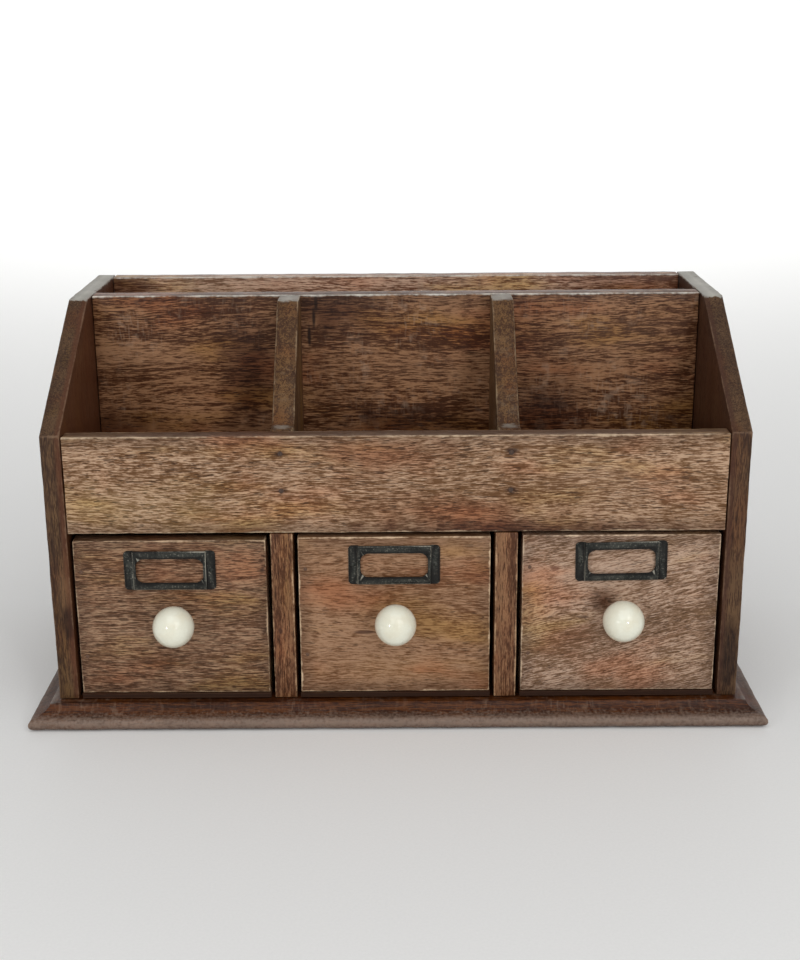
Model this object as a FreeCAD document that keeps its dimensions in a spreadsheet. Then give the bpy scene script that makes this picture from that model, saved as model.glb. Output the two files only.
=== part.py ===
"""Wooden desk organizer: three drawers under three open compartments and a letter slot.

Frame: millimetres, +Z up, the front faces -Y.  The origin is the middle of the underside
of the base board.  The carcass is nailed together from boards; every drawer runs on the
base board, between two partitions, and slides out along -Y.
"""
import FreeCAD, Part
import os
import re
import Sketcher

# Driving dimensions in millimetres: name in the sheet, value, meaning.
SIZES = (
    ("body_wide", 398.0, "carcass, over both side panels"),
    ("body_deep", 190.0, "carcass, front plane to back"),
    ("body_top", 234.0, "top of the side panels above the desk"),
    ("overhang", 16.0, "base board beyond the carcass, front and ends"),
    ("base_thick", 13.5, "base board"),
    ("lip_flat", 4.5, "flat of the base outside the carcass before the cove"),
    ("bead_round", 4.0, "radius of the bead on the base edge"),
    ("cove_round", 9.0, "radius of the cove above the bead"),
    ("side_thick", 12.0, "side panels"),
    ("brow_top", 174.0, "where the sloped edge of a side panel starts"),
    ("slope_run", 98.0, "depth taken by the sloped edge of a side panel"),
    ("panel_thick", 12.0, "front panel and back panel"),
    ("panel_low", 116.0, "lower edge of the front panel, top of the drawer bays"),
    ("panel_top", 173.5, "upper edge of the front panel"),
    ("divider_thick", 13.5, "lower partitions, upper dividers, middle panel"),
    ("bay_drift", -1.3, "lower partitions stand this far off the middle"),
    ("bay_pitch", 128.3, "lower partition to lower partition"),
    ("upper_pitch", 129.2, "upper divider to upper divider"),
    ("shelf_thick", 9.0, "shelf over the drawer bays"),
    ("letter_deep", 57.0, "letter slot, front to back"),
    ("ledge_run", 15.0, "flat ledge at the foot of an upper divider"),
    ("crest_run", 21.0, "flat top of an upper divider"),
    ("run_gap", 0.8, "under a drawer, between its bottom and the base"),
    ("bay_gap", 2.0, "between a drawer and the partition beside it"),
    ("stop_gap", 0.5, "between a closed drawer and the back panel"),
    ("face_thick", 12.0, "drawer front"),
    ("face_ease", 0.8, "radius on the edges of a drawer front"),
    ("wall_thick", 9.0, "drawer sides and back"),
    ("wall_drop", 6.0, "drawer sides lower than the drawer front"),
    ("ply_thick", 3.0, "drawer bottom"),
    ("left_face_tall", 95.1, "left drawer front"),
    ("middle_face_tall", 96.5, "middle drawer front"),
    ("right_face_tall", 97.0, "right drawer front"),
    ("left_knob_off", 3.0, "left knob, right of the middle of its drawer"),
    ("middle_knob_off", 0.6, "middle knob, right of the middle of its drawer"),
    ("right_knob_off", 0.0, "right knob, right of the middle of its drawer"),
    ("left_knob_rise", 52.0, "left knob, its middle above the underside of its drawer"),
    ("middle_knob_rise", 52.4, "middle knob, its middle above the underside of its drawer"),
    ("right_knob_rise", 53.9, "right knob, its middle above the underside of its drawer"),
    ("left_frame_drop", 17.9, "left card frame, its middle below the top of the drawer"),
    ("middle_frame_drop", 16.7, "middle card frame, its middle below the top"),
    ("right_frame_drop", 15.7, "right card frame, its middle below the top"),
    ("knob_round", 11.9, "radius of a knob"),
    ("knob_reach", 17.0, "middle of a knob in front of the drawer front"),
    ("neck_round", 6.5, "radius of the neck of a knob"),
    ("insert_round", 3.0, "radius of the threaded insert in a knob"),
    ("insert_long", 11.0, "threaded insert"),
    ("screw_round", 2.0, "radius of a knob screw"),
    ("screw_hole", 2.3, "radius of the hole for it in the drawer front"),
    ("screw_bite", 9.0, "length of a knob screw inside its insert"),
    ("head_round", 4.0, "radius of the head of a knob screw"),
    ("head_tall", 2.6, "head of a knob screw"),
    ("slot_wide", 1.0, "driver slot in the head of a knob screw"),
    ("washer_round", 5.5, "radius of the washer under it"),
    ("washer_thick", 1.0, "washer"),
    ("frame_wide", 52.4, "card frame"),
    ("frame_tall", 23.6, "card frame"),
    ("frame_rise", 2.1, "front of a card frame off the drawer front"),
    ("ear_wide", 4.9, "flat ear at each end of a card frame"),
    ("sheet_thick", 0.8, "metal of a card frame"),
    ("window_wide", 38.4, "window of a card frame"),
    ("window_tall", 14.4, "window of a card frame"),
    ("window_round", 4.5, "corners of the window"),
    ("ear_round", 2.4, "outer corners of a card frame"),
    ("pin_round", 0.6, "radius of a card frame pin"),
    ("pin_long", 8.0, "card frame pin in the wood"),
    ("pin_head", 1.3, "radius of the head of a card frame pin"),
    ("pin_head_tall", 0.7, "head of a card frame pin"),
    ("nail_round", 0.8, "radius of a nail"),
    ("nail_long", 25.0, "nail"),
    ("brad_long", 10.0, "brad through a drawer bottom"),
    ("brad_spread", 28.4, "brads under a drawer front, out from the middle of the drawer"),
    ("nail_sink", 1.5, "how far a nail is punched below the surface"),
    ("brad_sink", 0.3, "how far a brad is set below the surface"),
    ("punch_round", 1.2, "radius of the punched hole over a nail"),
)
ALIASES = [row[0] for row in SIZES]

# Where the nails go: shares of the height or depth of a joint, or millimetres above its foot.
PANEL_NAIL_SHARES = (0.44, 0.82)
PANEL_END_SHARES = (0.25, 0.75)
DEPTH_SHARES = (0.15, 0.5, 0.8)
REAR_BASE_SHARES = (-0.3, 0, 0.3)
MIDDLE_END_RISES = (25, 80)
REAR_END_RISES = (35, 85, 190)
MIDDLE_NAIL_RISES = (35, 85)
REAR_NAIL_RISES = (30, 75)
BOX_NAIL_SHARES = (0.25, 0.8)
BRAD_SHARES = (0.1, 0.5, 0.9)

SAME_SPOT = 1e-6   # two corners of a sketch closer than this are one
SAME_PLACE = 1e-4  # two coordinates closer than this are one
LEAST_CUT = 1e-3   # a pocket that takes away less than this cut nothing
AXES = {"X": (1, 0, 0), "-X": (-1, 0, 0), "Y": (0, 1, 0), "-Y": (0, -1, 0), "Z": (0, 0, 1)}

# Planes and heights that several pieces share, worked out from the driving dimensions.
FRONT = "(overhang - (body_deep + overhang) / 2)"
BACK = "((body_deep + overhang) / 2)"
INNER = "(body_wide / 2 - side_thick)"
SHELF_TOP = "(panel_low + shelf_thick)"
BACK_FACE = f"({BACK} - panel_thick)"
MIDDLE_BACK = f"({BACK_FACE} - letter_deep)"
MIDDLE_FACE = f"({MIDDLE_BACK} - divider_thick)"
BEHIND_PANEL = f"({FRONT} + panel_thick)"
DRAWER_BASE = "(base_thick + run_gap)"
WALL_BASE = f"({DRAWER_BASE} + ply_thick)"

doc = FreeCAD.newDocument("desk_organizer")
sheet = doc.addObject("Spreadsheet::Sheet", "Sizes")
gauge = doc.addObject("App::FeaturePython", "Gauge")
gauge.addProperty("App::PropertyFloat", "Reading", "Sizes", "an expression worked out now")
nodes = []


def fill_sheet():
    """Write every driving dimension into the sheet, with its alias and meaning."""
    for row, (alias, value, meaning) in enumerate(SIZES, start=1):
        sheet.set(f"A{row}", str(value))
        sheet.setAlias(f"A{row}", alias)
        sheet.set(f"B{row}", meaning)
    doc.recompute()


def sized(text):
    """Turn plain size names into references to the sheet."""
    return re.sub(r"[a-z]\w+", lambda word: "Sizes." + word[0] if word[0] in ALIASES else word[0], text)


def bind(thing, **sizes):
    """Bind properties of an object to expressions in size names."""
    for name, text in sizes.items():
        thing.setExpression(name, sized(text))


def place(thing, x, y, z):
    """Bind the position of an object."""
    for axis, text in zip("xyz", (x, y, z)):
        thing.setExpression(f"Placement.Base.{axis}", sized(text))


def node(thing, label):
    """Register a finished sub-part under its node name."""
    thing.Label = label
    nodes.append(thing)
    return thing


def board(label, low, high):
    """A plain board between two corners, each a triple of expressions."""
    box = doc.addObject("Part::Box", label)
    spans = [f"({b}) - ({a})" for a, b in zip(low, high)]
    bind(box, Length=spans[0], Width=spans[1], Height=spans[2])
    place(box, *low)
    return box


def cylinder(name, radius, height, at, axis="Z"):
    """A cylinder that starts at a point and runs along an axis, such as Y or -X."""
    rod = doc.addObject("Part::Cylinder", name)
    turn = FreeCAD.Rotation(FreeCAD.Vector(0, 0, 1), FreeCAD.Vector(*AXES[axis]))
    rod.Placement = FreeCAD.Placement(FreeCAD.Vector(), turn)
    bind(rod, Radius=radius, Height=height)
    place(rod, *at)
    return rod


def compound(name, pieces):
    """Several separate solids as one object."""
    group = doc.addObject("Part::Compound", name)
    group.Links = pieces
    return group


def cut(name, base, tools):
    """A solid less its tools."""
    result = doc.addObject("Part::Cut", name)
    result.Base = base
    result.Tool = tools[0] if len(tools) == 1 else compound(name + "_tools", tools)
    return result


def origin_plane(body, role):
    """An origin plane of a PartDesign body."""
    return next(plane for plane in body.Origin.OriginFeatures if plane.Role == role)


def sketch_on(body, role, name):
    """An empty sketch on an origin plane of its own body."""
    sketch = body.newObject("Sketcher::SketchObject", name)
    sketch.AttachmentSupport = [(origin_plane(body, role), "")]
    sketch.MapMode = "FlatFace"
    return sketch


def value_of(text):
    """The number that an expression in size names gives now."""
    gauge.setExpression("Reading", sized(text))
    gauge.recompute()
    return gauge.Reading


def end_at(sketch, edge, spot):
    """Which end of a sketch edge lies at a spot: 1 for its start, 2 for its end."""
    return 1 if (sketch.getPoint(edge, 1) - spot).Length < SAME_SPOT else 2


def outline(sketch, points, arcs=None):
    """Draw a closed outline, every corner bound to a pair of expressions.

    arcs maps the index of an edge to its radius and the side it bulges to: 1 to the right
    of the way from its first corner to its next, -1 to the left.
    """
    arcs = arcs or {}
    spots = [FreeCAD.Vector(value_of(x), value_of(y), 0) for x, y in points]
    first = sketch.GeometryCount
    for index, start in enumerate(spots):
        end = spots[(index + 1) % len(spots)]
        edge = Part.LineSegment(start, end)
        if index in arcs:
            radius, side = value_of(arcs[index][0]), arcs[index][1]
            half = (end - start) * 0.5
            rise = side * (radius - max(radius ** 2 - half.Length ** 2, 0.0) ** 0.5)
            right = FreeCAD.Vector(half.y, -half.x, 0).normalize()
            edge = Part.Arc(start, start + half + right * rise, end)
        sketch.addGeometry(edge, False)
    for index, (spot, point) in enumerate(zip(spots, points)):
        here = first + index
        before = first + (index - 1) % len(spots)
        ends = (here, end_at(sketch, here, spot), before, end_at(sketch, before, spot))
        sketch.addConstraint(Sketcher.Constraint("Coincident", *ends))
        for kind, text, now in zip(("DistanceX", "DistanceY"), point, spot):
            rule = Sketcher.Constraint(kind, -1, 1, ends[0], ends[1], now)
            sketch.setExpression(f"Constraints[{sketch.addConstraint(rule)}]", sized(text))
    for index, (radius, _) in arcs.items():
        rule = Sketcher.Constraint("Radius", first + index, value_of(radius))
        sketch.setExpression(f"Constraints[{sketch.addConstraint(rule)}]", sized(radius))


def rectangle(wide, tall):
    """Corners of a rectangle about the origin."""
    signs = ((-1, -1), (1, -1), (1, 1), (-1, 1))
    return [(f"{right} * {wide} / 2", f"{up} * {tall} / 2") for right, up in signs]


def new_body(label):
    """An empty PartDesign body."""
    return doc.addObject("PartDesign::Body", label)


def pad(body, sketch, length, name="Pad"):
    """Pad a sketch along its normal by an expression."""
    feature = body.newObject("PartDesign::Pad", name)
    feature.Profile = sketch
    bind(feature, Length=length)
    doc.recompute()
    return feature


def pocket(body, sketch, depth=None, backwards=False, name="Pocket"):
    """Cut a sketch out of its body, to a depth or both ways through, and check that it cut."""
    before = body.Shape.Volume
    feature = body.newObject("PartDesign::Pocket", name)
    feature.Profile = sketch
    feature.Reversed = backwards
    if depth is None:
        feature.Type = "ThroughAll"
        feature.SideType = "Symmetric"
    else:
        bind(feature, Length=depth)
    doc.recompute()
    if body.Shape.Volume > before - LEAST_CUT:
        raise RuntimeError(f"{body.Label}: {name} cut nothing")
    return feature


def edges_where(feature, test):
    """Names of the edges of a feature whose two ends and middle pass a test."""
    chosen = []
    for index, edge in enumerate(feature.Shape.Edges, start=1):
        spots = [edge.valueAt(edge.FirstParameter), edge.valueAt(edge.LastParameter), edge.CenterOfMass]
        if all(test(spot) for spot in spots):
            chosen.append(f"Edge{index}")
    return chosen


def fillet(body, feature, radius, test, name="Fillet"):
    """Round the edges of a body's last feature that pass a test."""
    rounding = body.newObject("PartDesign::Fillet", name)
    rounding.Base = (feature, edges_where(feature, test))
    bind(rounding, Radius=radius)
    doc.recompute()
    return rounding


def near(value, target):
    """Whether two coordinates are the same."""
    return abs(value - target) < SAME_PLACE


# ---------------------------------------------------------------- nails
def drive(name, spots, long="nail_long", sink="nail_sink"):
    """Nails driven in at spots on a surface, each with the way it goes.

    Returns the nails, which are a node, and the punched holes that are left over them.
    """
    shanks = []
    punches = []
    for count, (*spot, axis) in enumerate(spots, start=1):
        sunk = [f"{at} + ({step}) * {sink}" for at, step in zip(spot, AXES[axis])]
        shanks.append(cylinder(f"{name}_{count}", "nail_round", long, sunk, axis))
        punches.append(cylinder(f"{name}_punch_{count}", "punch_round", sink, spot, axis))
    return node(compound(name, shanks), name), compound(name + "_punches", punches)


def carcass_nails():
    """Drive the nails of the carcass: node name to its nails and punched holes."""
    partitions = [f"(bay_drift + {side} * bay_pitch / 2)" for side in (-1, 1)]
    dividers = [f"({side} * upper_pitch / 2)" for side in (-1, 1)]
    middle = f"({MIDDLE_FACE} + divider_thick / 2)"
    rear = f"({BACK} - panel_thick / 2)"
    under_ends = ["(-body_wide / 2 + side_thick / 2)", "(body_wide / 2 - side_thick / 2)"]
    along_base = [f"({FRONT} + {share} * body_deep)" for share in DEPTH_SHARES]
    into_ends = [(f"{FRONT} + panel_thick / 2", f"panel_low + {share} * (panel_top - panel_low)")
                 for share in PANEL_END_SHARES]
    into_ends += [(y, "panel_low + shelf_thick / 2") for y in along_base]
    into_ends += [(middle, f"{SHELF_TOP} + {rise}") for rise in MIDDLE_END_RISES]
    into_ends += [(rear, f"base_thick + {rise}") for rise in REAR_END_RISES]
    sets = {
        "left_side_nails": [("-body_wide / 2", y, z, "X") for y, z in into_ends],
        "right_side_nails": [("body_wide / 2", y, z, "-X") for y, z in into_ends],
        "front_panel_nails": [
            (x, FRONT, f"panel_low + {share} * (panel_top - panel_low)", "Y")
            for x in dividers for share in PANEL_NAIL_SHARES],
        "middle_panel_nails": [
            (x, MIDDLE_BACK, f"{SHELF_TOP} + {rise}", "-Y")
            for x in dividers for rise in MIDDLE_NAIL_RISES],
        "back_panel_nails": [
            (x, BACK, f"base_thick + {rise}", "-Y")
            for x in partitions for rise in REAR_NAIL_RISES],
        "base_nails": [
            (x, y, "0", "Z") for y in along_base
            for x in [*partitions, *under_ends]]
            + [(f"{share} * body_wide", rear, "0", "Z") for share in REAR_BASE_SHARES],
    }
    return {name: drive(name, spots) for name, spots in sets.items()}


# ---------------------------------------------------------------- carcass
def moulded_end(sketch, side):
    """Outline what is cut away past the moulded edge at one end of the base board."""
    bead = "(body_wide / 2 + overhang - bead_round)"
    nose = "(body_wide / 2 + overhang)"
    lip = "(body_wide / 2 + lip_flat)"
    corners = [(lip, "base_thick"), (bead, "2 * bead_round"), (nose, "bead_round"), (bead, "0"),
               (bead, "-1"), (nose + " + 1", "-1"), (nose + " + 1", "base_thick + 1"),
               (lip, "base_thick + 1")]
    arcs = {0: ("cove_round", side), 1: ("bead_round", -side), 2: ("bead_round", -side)}
    outline(sketch, [(f"{side} * ({x})", z) for x, z in corners], arcs)


def base_board():
    """The base: a board with a cove and a bead worked along its front and both ends."""
    body = new_body("base_blank")
    profile = sketch_on(body, "YZ_Plane", "base_profile")
    bead = f"({FRONT} - overhang + bead_round)"
    corners = [(BACK, "0"), (bead, "0"), (f"{FRONT} - overhang", "bead_round"),
               (bead, "2 * bead_round"), (f"{FRONT} - lip_flat", "base_thick"), (BACK, "base_thick")]
    outline(profile, corners, {1: ("bead_round", -1), 2: ("bead_round", -1), 3: ("cove_round", 1)})
    pad(body, profile, "body_wide + 2 * overhang").SideType = "Symmetric"
    ends = sketch_on(body, "XZ_Plane", "base_ends")
    moulded_end(ends, -1)
    moulded_end(ends, 1)
    doc.recompute()
    pocket(body, ends)
    return body


def side_blank(name, x):
    """A side panel: upright at the front, sloped from the brow to a flat top."""
    body = new_body(name)
    profile = sketch_on(body, "YZ_Plane", name + "_profile")
    tall = "(body_top - base_thick)"
    outline(profile, [("0", "0"), ("body_deep", "0"), ("body_deep", tall), ("slope_run", tall),
                      ("0", "brow_top - base_thick")])
    pad(body, profile, "side_thick")
    place(body, x, FRONT, "base_thick")
    return body


def divider_blank(name, x):
    """An upper divider: a ledge level with the front panel, a slope and a flat crest."""
    body = new_body(name)
    profile = sketch_on(body, "YZ_Plane", name + "_profile")
    deep = f"({MIDDLE_FACE} - {BEHIND_PANEL})"
    ledge = f"(panel_top - {SHELF_TOP})"
    crest = f"(body_top - {SHELF_TOP})"
    outline(profile, [("0", "0"), (deep, "0"), (deep, crest), (f"{deep} - crest_run", crest),
                      ("ledge_run", ledge), ("0", ledge)])
    pad(body, profile, "divider_thick")
    place(body, f"{x} - divider_thick / 2", BEHIND_PANEL, SHELF_TOP)
    return body


def carcass():
    """The boards that are nailed together around the drawers."""
    nails = carcass_nails()
    half = "divider_thick / 2"
    blanks = {
        "base_board": (base_board(), ["base_nails"]),
        "left_side": (side_blank("left_side_blank", "-body_wide / 2"), ["left_side_nails", "base_nails"]),
        "right_side": (side_blank("right_side_blank", INNER), ["right_side_nails", "base_nails"]),
        "shelf": (
            board("shelf_blank", (f"-{INNER}", BEHIND_PANEL, "panel_low"),
                  (INNER, BACK_FACE, SHELF_TOP)),
            ["left_side_nails", "right_side_nails"]),
        "front_panel": (
            board("front_panel_blank", (f"-{INNER}", FRONT, "panel_low"),
                  (INNER, BEHIND_PANEL, "panel_top")),
            ["front_panel_nails", "left_side_nails", "right_side_nails"]),
        "middle_panel": (
            board("middle_panel_blank", (f"-{INNER}", MIDDLE_FACE, SHELF_TOP),
                  (INNER, MIDDLE_BACK, "body_top")),
            ["middle_panel_nails", "left_side_nails", "right_side_nails"]),
        "back_panel": (
            board("back_panel_blank", (f"-{INNER}", BACK_FACE, "base_thick"),
                  (INNER, BACK, "body_top")),
            ["back_panel_nails", "left_side_nails", "right_side_nails", "base_nails"]),
    }
    for name, side in (("left", -1), ("right", 1)):
        x = f"bay_drift + {side} * bay_pitch / 2"
        blanks[f"{name}_partition"] = (
            board(f"{name}_partition_blank", (f"{x} - {half}", FRONT, "base_thick"),
                  (f"{x} + {half}", BACK_FACE, "panel_low")),
            ["base_nails", "back_panel_nails"])
        blanks[f"{name}_divider"] = (
            divider_blank(f"{name}_divider_blank", f"{side} * upper_pitch / 2"),
            ["front_panel_nails", "middle_panel_nails"])
    for label, (blank, sets) in blanks.items():
        tools = [tool for name in sets for tool in nails[name]]
        node(cut(label, blank, tools), label)


# ---------------------------------------------------------------- drawers
def drawer_front(name, low, high, tall):
    """The blank of a drawer front, its four front edges eased."""
    body = new_body(name)
    face = sketch_on(body, "XZ_Plane", name + "_face")
    wide = f"({high}) - ({low})"
    outline(face, [("0", "0"), (wide, "0"), (wide, tall), ("0", tall)])
    slab = pad(body, face, "face_thick")
    slab.Reversed = True
    doc.recompute()
    fillet(body, slab, "face_ease", lambda spot: near(spot.y, 0))
    place(body, low, FRONT, WALL_BASE)
    return body


def knob_ball(name, x, z):
    """A turned and glazed knob: a ball on a short neck, bored for its insert."""
    body = new_body(name)
    profile = sketch_on(body, "XY_Plane", name + "_profile")
    bore = "knob_reach - insert_long"
    outline(profile, [("0", "-knob_round"), ("neck_round", "sqrt(knob_round ^ 2 - neck_round ^ 2)"),
                      ("neck_round", "knob_reach"), ("insert_round", "knob_reach"),
                      ("insert_round", bore), ("0", bore)], {0: ("knob_round", 1)})
    turned = body.newObject("PartDesign::Revolution", "Turned")
    turned.Profile = profile
    turned.ReferenceAxis = (profile, ["V_Axis"])
    turned.Angle = 360
    place(body, x, f"{FRONT} - knob_reach", z)
    return body


def knob_fittings(name, x, z):
    """The knob with its insert, screw and washer; returns the screw hole of the front."""
    inside = f"{FRONT} + face_thick"
    seat = f"{inside} + washer_thick"
    node(knob_ball(f"{name}_knob", x, z), f"{name}_knob")
    start = (x, f"{FRONT} - insert_long", z)
    sleeve = cylinder(f"{name}_insert_sleeve", "insert_round", "insert_long", start, "Y")
    thread = cylinder(f"{name}_insert_thread", "screw_round", "insert_long", start, "Y")
    node(cut(f"{name}_knob_insert", sleeve, [thread]), f"{name}_knob_insert")
    shank = cylinder(f"{name}_screw_shank", "screw_round", "screw_bite + face_thick + washer_thick",
                     (x, f"{FRONT} - screw_bite", z), "Y")
    head = cylinder(f"{name}_screw_head", "head_round", "head_tall", (x, seat, z), "Y")
    screw = doc.addObject("Part::Fuse", f"{name}_screw_blank")
    screw.Base = shank
    screw.Tool = head
    slot = board(f"{name}_screw_slot",
                 (f"{x} - head_round", f"{seat} + head_tall / 2", f"{z} - slot_wide / 2"),
                 (f"{x} + head_round", f"{seat} + head_tall", f"{z} + slot_wide / 2"))
    node(cut(f"{name}_knob_screw", screw, [slot]), f"{name}_knob_screw")
    disc = cylinder(f"{name}_washer_disc", "washer_round", "washer_thick", (x, inside, z), "Y")
    hole = cylinder(f"{name}_washer_hole", "screw_hole", "washer_thick", (x, inside, z), "Y")
    node(cut(f"{name}_knob_washer", disc, [hole]), f"{name}_knob_washer")
    return cylinder(f"{name}_front_hole", "screw_hole", "face_thick", (x, FRONT, z), "Y")


def frame_blank(name, x, z):
    """A pressed card frame: a raised window over a card pocket, between two flat ears."""
    body = new_body(name)
    ears = sketch_on(body, "XZ_Plane", name + "_ears")
    outline(ears, rectangle("frame_wide", "frame_tall"))
    pad(body, ears, "sheet_thick", "Ears")
    raised = sketch_on(body, "XZ_Plane", name + "_raised")
    outline(raised, rectangle("(frame_wide - 2 * ear_wide)", "frame_tall"))
    pad(body, raised, "frame_rise", "Raised")
    card = sketch_on(body, "XZ_Plane", name + "_card")
    wide = "(frame_wide / 2 - ear_wide - sheet_thick)"
    low, high = "(sheet_thick - frame_tall / 2)", "(frame_tall / 2 + 1)"
    outline(card, [(f"-{wide}", low), (wide, low), (wide, high), (f"-{wide}", high)])
    doc.recompute()
    pocket(body, card, "frame_rise - sheet_thick", backwards=True, name="CardPocket")
    window = sketch_on(body, "XZ_Plane", name + "_window")
    outline(window, rectangle("window_wide", "window_tall"))
    doc.recompute()
    opened = pocket(body, window, name="Window")
    across, up = value_of("window_wide / 2"), value_of("window_tall / 2")
    rounded = fillet(body, opened, "window_round",
                     lambda spot: near(abs(spot.x), across) and near(abs(spot.z), up), "WindowCorners")
    across, up = value_of("frame_wide / 2"), value_of("frame_tall / 2")
    fillet(body, rounded, "ear_round",
           lambda spot: near(abs(spot.x), across) and near(abs(spot.z), up), "EarCorners")
    place(body, x, FRONT, z)
    return body


def card_frame(name, x, z):
    """A card frame and its two pins; returns the pin shanks, which pierce the front."""
    shanks = []
    pins = []
    for side in (-1, 1):
        at = (f"{x} + {side} * (frame_wide - ear_wide) / 2", f"{FRONT} - sheet_thick", z)
        shank = cylinder(f"{name}_pin_shank_{side + 2}", "pin_round", "sheet_thick + pin_long", at, "Y")
        head = doc.addObject("Part::Cone", f"{name}_pin_head_{side + 2}")
        outwards = FreeCAD.Rotation(FreeCAD.Vector(1, 0, 0), 90)
        head.Placement = FreeCAD.Placement(FreeCAD.Vector(), outwards)
        bind(head, Radius1="pin_head", Radius2="pin_round", Height="pin_head_tall")
        place(head, *at)
        pin = doc.addObject("Part::Fuse", f"{name}_pin_{side + 2}")
        pin.Base = shank
        pin.Tool = head
        shanks.append(shank)
        pins.append(pin)
    node(compound(f"{name}_card_frame_pins", pins), f"{name}_card_frame_pins")
    blank = frame_blank(f"{name}_frame_blank", x, z)
    node(cut(f"{name}_card_frame", blank, shanks), f"{name}_card_frame")
    return shanks


def drawer(name, bay_low, bay_high):
    """One drawer between two faces of its bay: box, knob and card frame."""
    low, high = f"({bay_low} + bay_gap)", f"({bay_high} - bay_gap)"
    middle = f"(({low} + {high}) / 2)"
    tall = f"{name}_face_tall"
    back = f"({BACK_FACE} - stop_gap)"
    behind_face = f"({FRONT} + face_thick)"
    wall_top = f"({WALL_BASE} + {tall} - wall_drop)"
    edges = (f"({low} + wall_thick / 2)", f"({high} - wall_thick / 2)")
    rises = [f"({WALL_BASE} + {share} * {tall})" for share in BOX_NAIL_SHARES]
    ends = [(x, f"{back} - wall_thick / 2", z, axis)
            for x, axis in ((low, "X"), (high, "-X")) for z in rises]
    nails = drive(f"{name}_drawer_nails", [(x, FRONT, z, "Y") for x in edges for z in rises] + ends)
    along = [f"({behind_face} + {share} * ({back} - {behind_face}))" for share in BRAD_SHARES]
    under = [(x, y, DRAWER_BASE, "Z") for x in edges for y in along]
    under += [(f"{middle} + {side} * brad_spread", f"{FRONT} + face_thick / 2", DRAWER_BASE, "Z")
              for side in (-1, 1)]
    brads = drive(f"{name}_drawer_brads", under, "brad_long", "brad_sink")
    knob_x = f"({middle} + {name}_knob_off)"
    knob_hole = knob_fittings(name, knob_x, f"({DRAWER_BASE} + {name}_knob_rise)")
    pins = card_frame(name, middle, f"({WALL_BASE} + {tall} - {name}_frame_drop)")
    pieces = {
        "front": (
            drawer_front(f"{name}_front_blank", low, high, tall),
            [*nails, *brads, knob_hole, *pins]),
        "left_wall": (
            board(f"{name}_left_wall_blank", (low, behind_face, WALL_BASE),
                  (f"{low} + wall_thick", back, wall_top)),
            [*nails, *brads]),
        "right_wall": (
            board(f"{name}_right_wall_blank", (f"{high} - wall_thick", behind_face, WALL_BASE),
                  (high, back, wall_top)),
            [*nails, *brads]),
        "back": (
            board(f"{name}_back_blank", (f"{low} + wall_thick", f"{back} - wall_thick", WALL_BASE),
                  (f"{high} - wall_thick", back, wall_top)),
            [*nails]),
        "bottom": (
            board(f"{name}_bottom_blank", (low, FRONT, DRAWER_BASE), (high, back, WALL_BASE)),
            [*brads]),
    }
    for piece, (blank, tools) in pieces.items():
        label = f"{name}_drawer_{piece}"
        node(cut(label, blank, tools), label)


def drawers():
    """The three drawers, each in the bay between two neighbouring boards."""
    half = "(bay_pitch + divider_thick) / 2"
    gap = "(bay_pitch - divider_thick) / 2"
    drawer("left", f"-{INNER}", f"(bay_drift - {half})")
    drawer("middle", f"(bay_drift - {gap})", f"(bay_drift + {gap})")
    drawer("right", f"(bay_drift + {half})", INNER)


def check_model():
    """Stop on a failed object, or a sub-part whose shape is missing or broken."""
    failed = [thing.Label for thing in doc.Objects if {"Invalid", "Error"} & set(thing.State)]
    failed += [thing.Label for thing in nodes if thing.Shape.isNull() or not thing.Shape.isValid()]
    if failed:
        raise RuntimeError("failed objects: " + ", ".join(failed))


def write_parts():
    """Write every sub-part to a file named after its node."""
    os.makedirs("parts", exist_ok=True)
    for thing in nodes:
        thing.Shape.exportStep(f"parts/{thing.Label}.step")
        print(f"{thing.Label:28s} {len(thing.Shape.Solids):3d} solids {thing.Shape.Volume:12.1f} mm3")


fill_sheet()
carcass()
drawers()
doc.recompute()
check_model()
write_parts()
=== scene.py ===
import logging
import math
from collections.abc import Callable, Mapping, Sequence
from dataclasses import dataclass, field, replace
from enum import Enum
from functools import cache
from typing import Any

import bpy
from mathutils import Matrix, Vector


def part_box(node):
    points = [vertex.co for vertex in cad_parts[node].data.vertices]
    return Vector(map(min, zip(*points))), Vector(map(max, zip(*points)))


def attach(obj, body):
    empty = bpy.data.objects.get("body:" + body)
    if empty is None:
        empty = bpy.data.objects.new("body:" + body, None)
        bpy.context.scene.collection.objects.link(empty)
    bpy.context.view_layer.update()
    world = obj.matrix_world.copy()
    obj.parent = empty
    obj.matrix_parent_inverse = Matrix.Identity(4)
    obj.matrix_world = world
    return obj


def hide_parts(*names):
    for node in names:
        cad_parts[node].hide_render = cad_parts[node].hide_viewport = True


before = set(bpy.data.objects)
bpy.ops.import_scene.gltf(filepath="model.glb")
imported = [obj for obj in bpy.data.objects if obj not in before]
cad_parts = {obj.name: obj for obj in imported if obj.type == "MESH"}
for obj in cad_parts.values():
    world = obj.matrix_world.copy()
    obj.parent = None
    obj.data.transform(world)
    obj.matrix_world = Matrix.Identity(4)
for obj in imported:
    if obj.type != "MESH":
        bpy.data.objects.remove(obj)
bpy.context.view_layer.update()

# A wooden desk organizer: three drawers, three open compartments and a letter slot.
# Metres throughout.  The front faces -Y and the desk is at z = 0.

log = logging.getLogger("organizer")

MM = 0.001
TINY = 1e-5
Tone = tuple[float, float, float]
Place = tuple[float, float, float]


WHITE = (255, 255, 255)
RUSSET = (255, 224, 206)
HONEY = (255, 250, 208)


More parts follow.
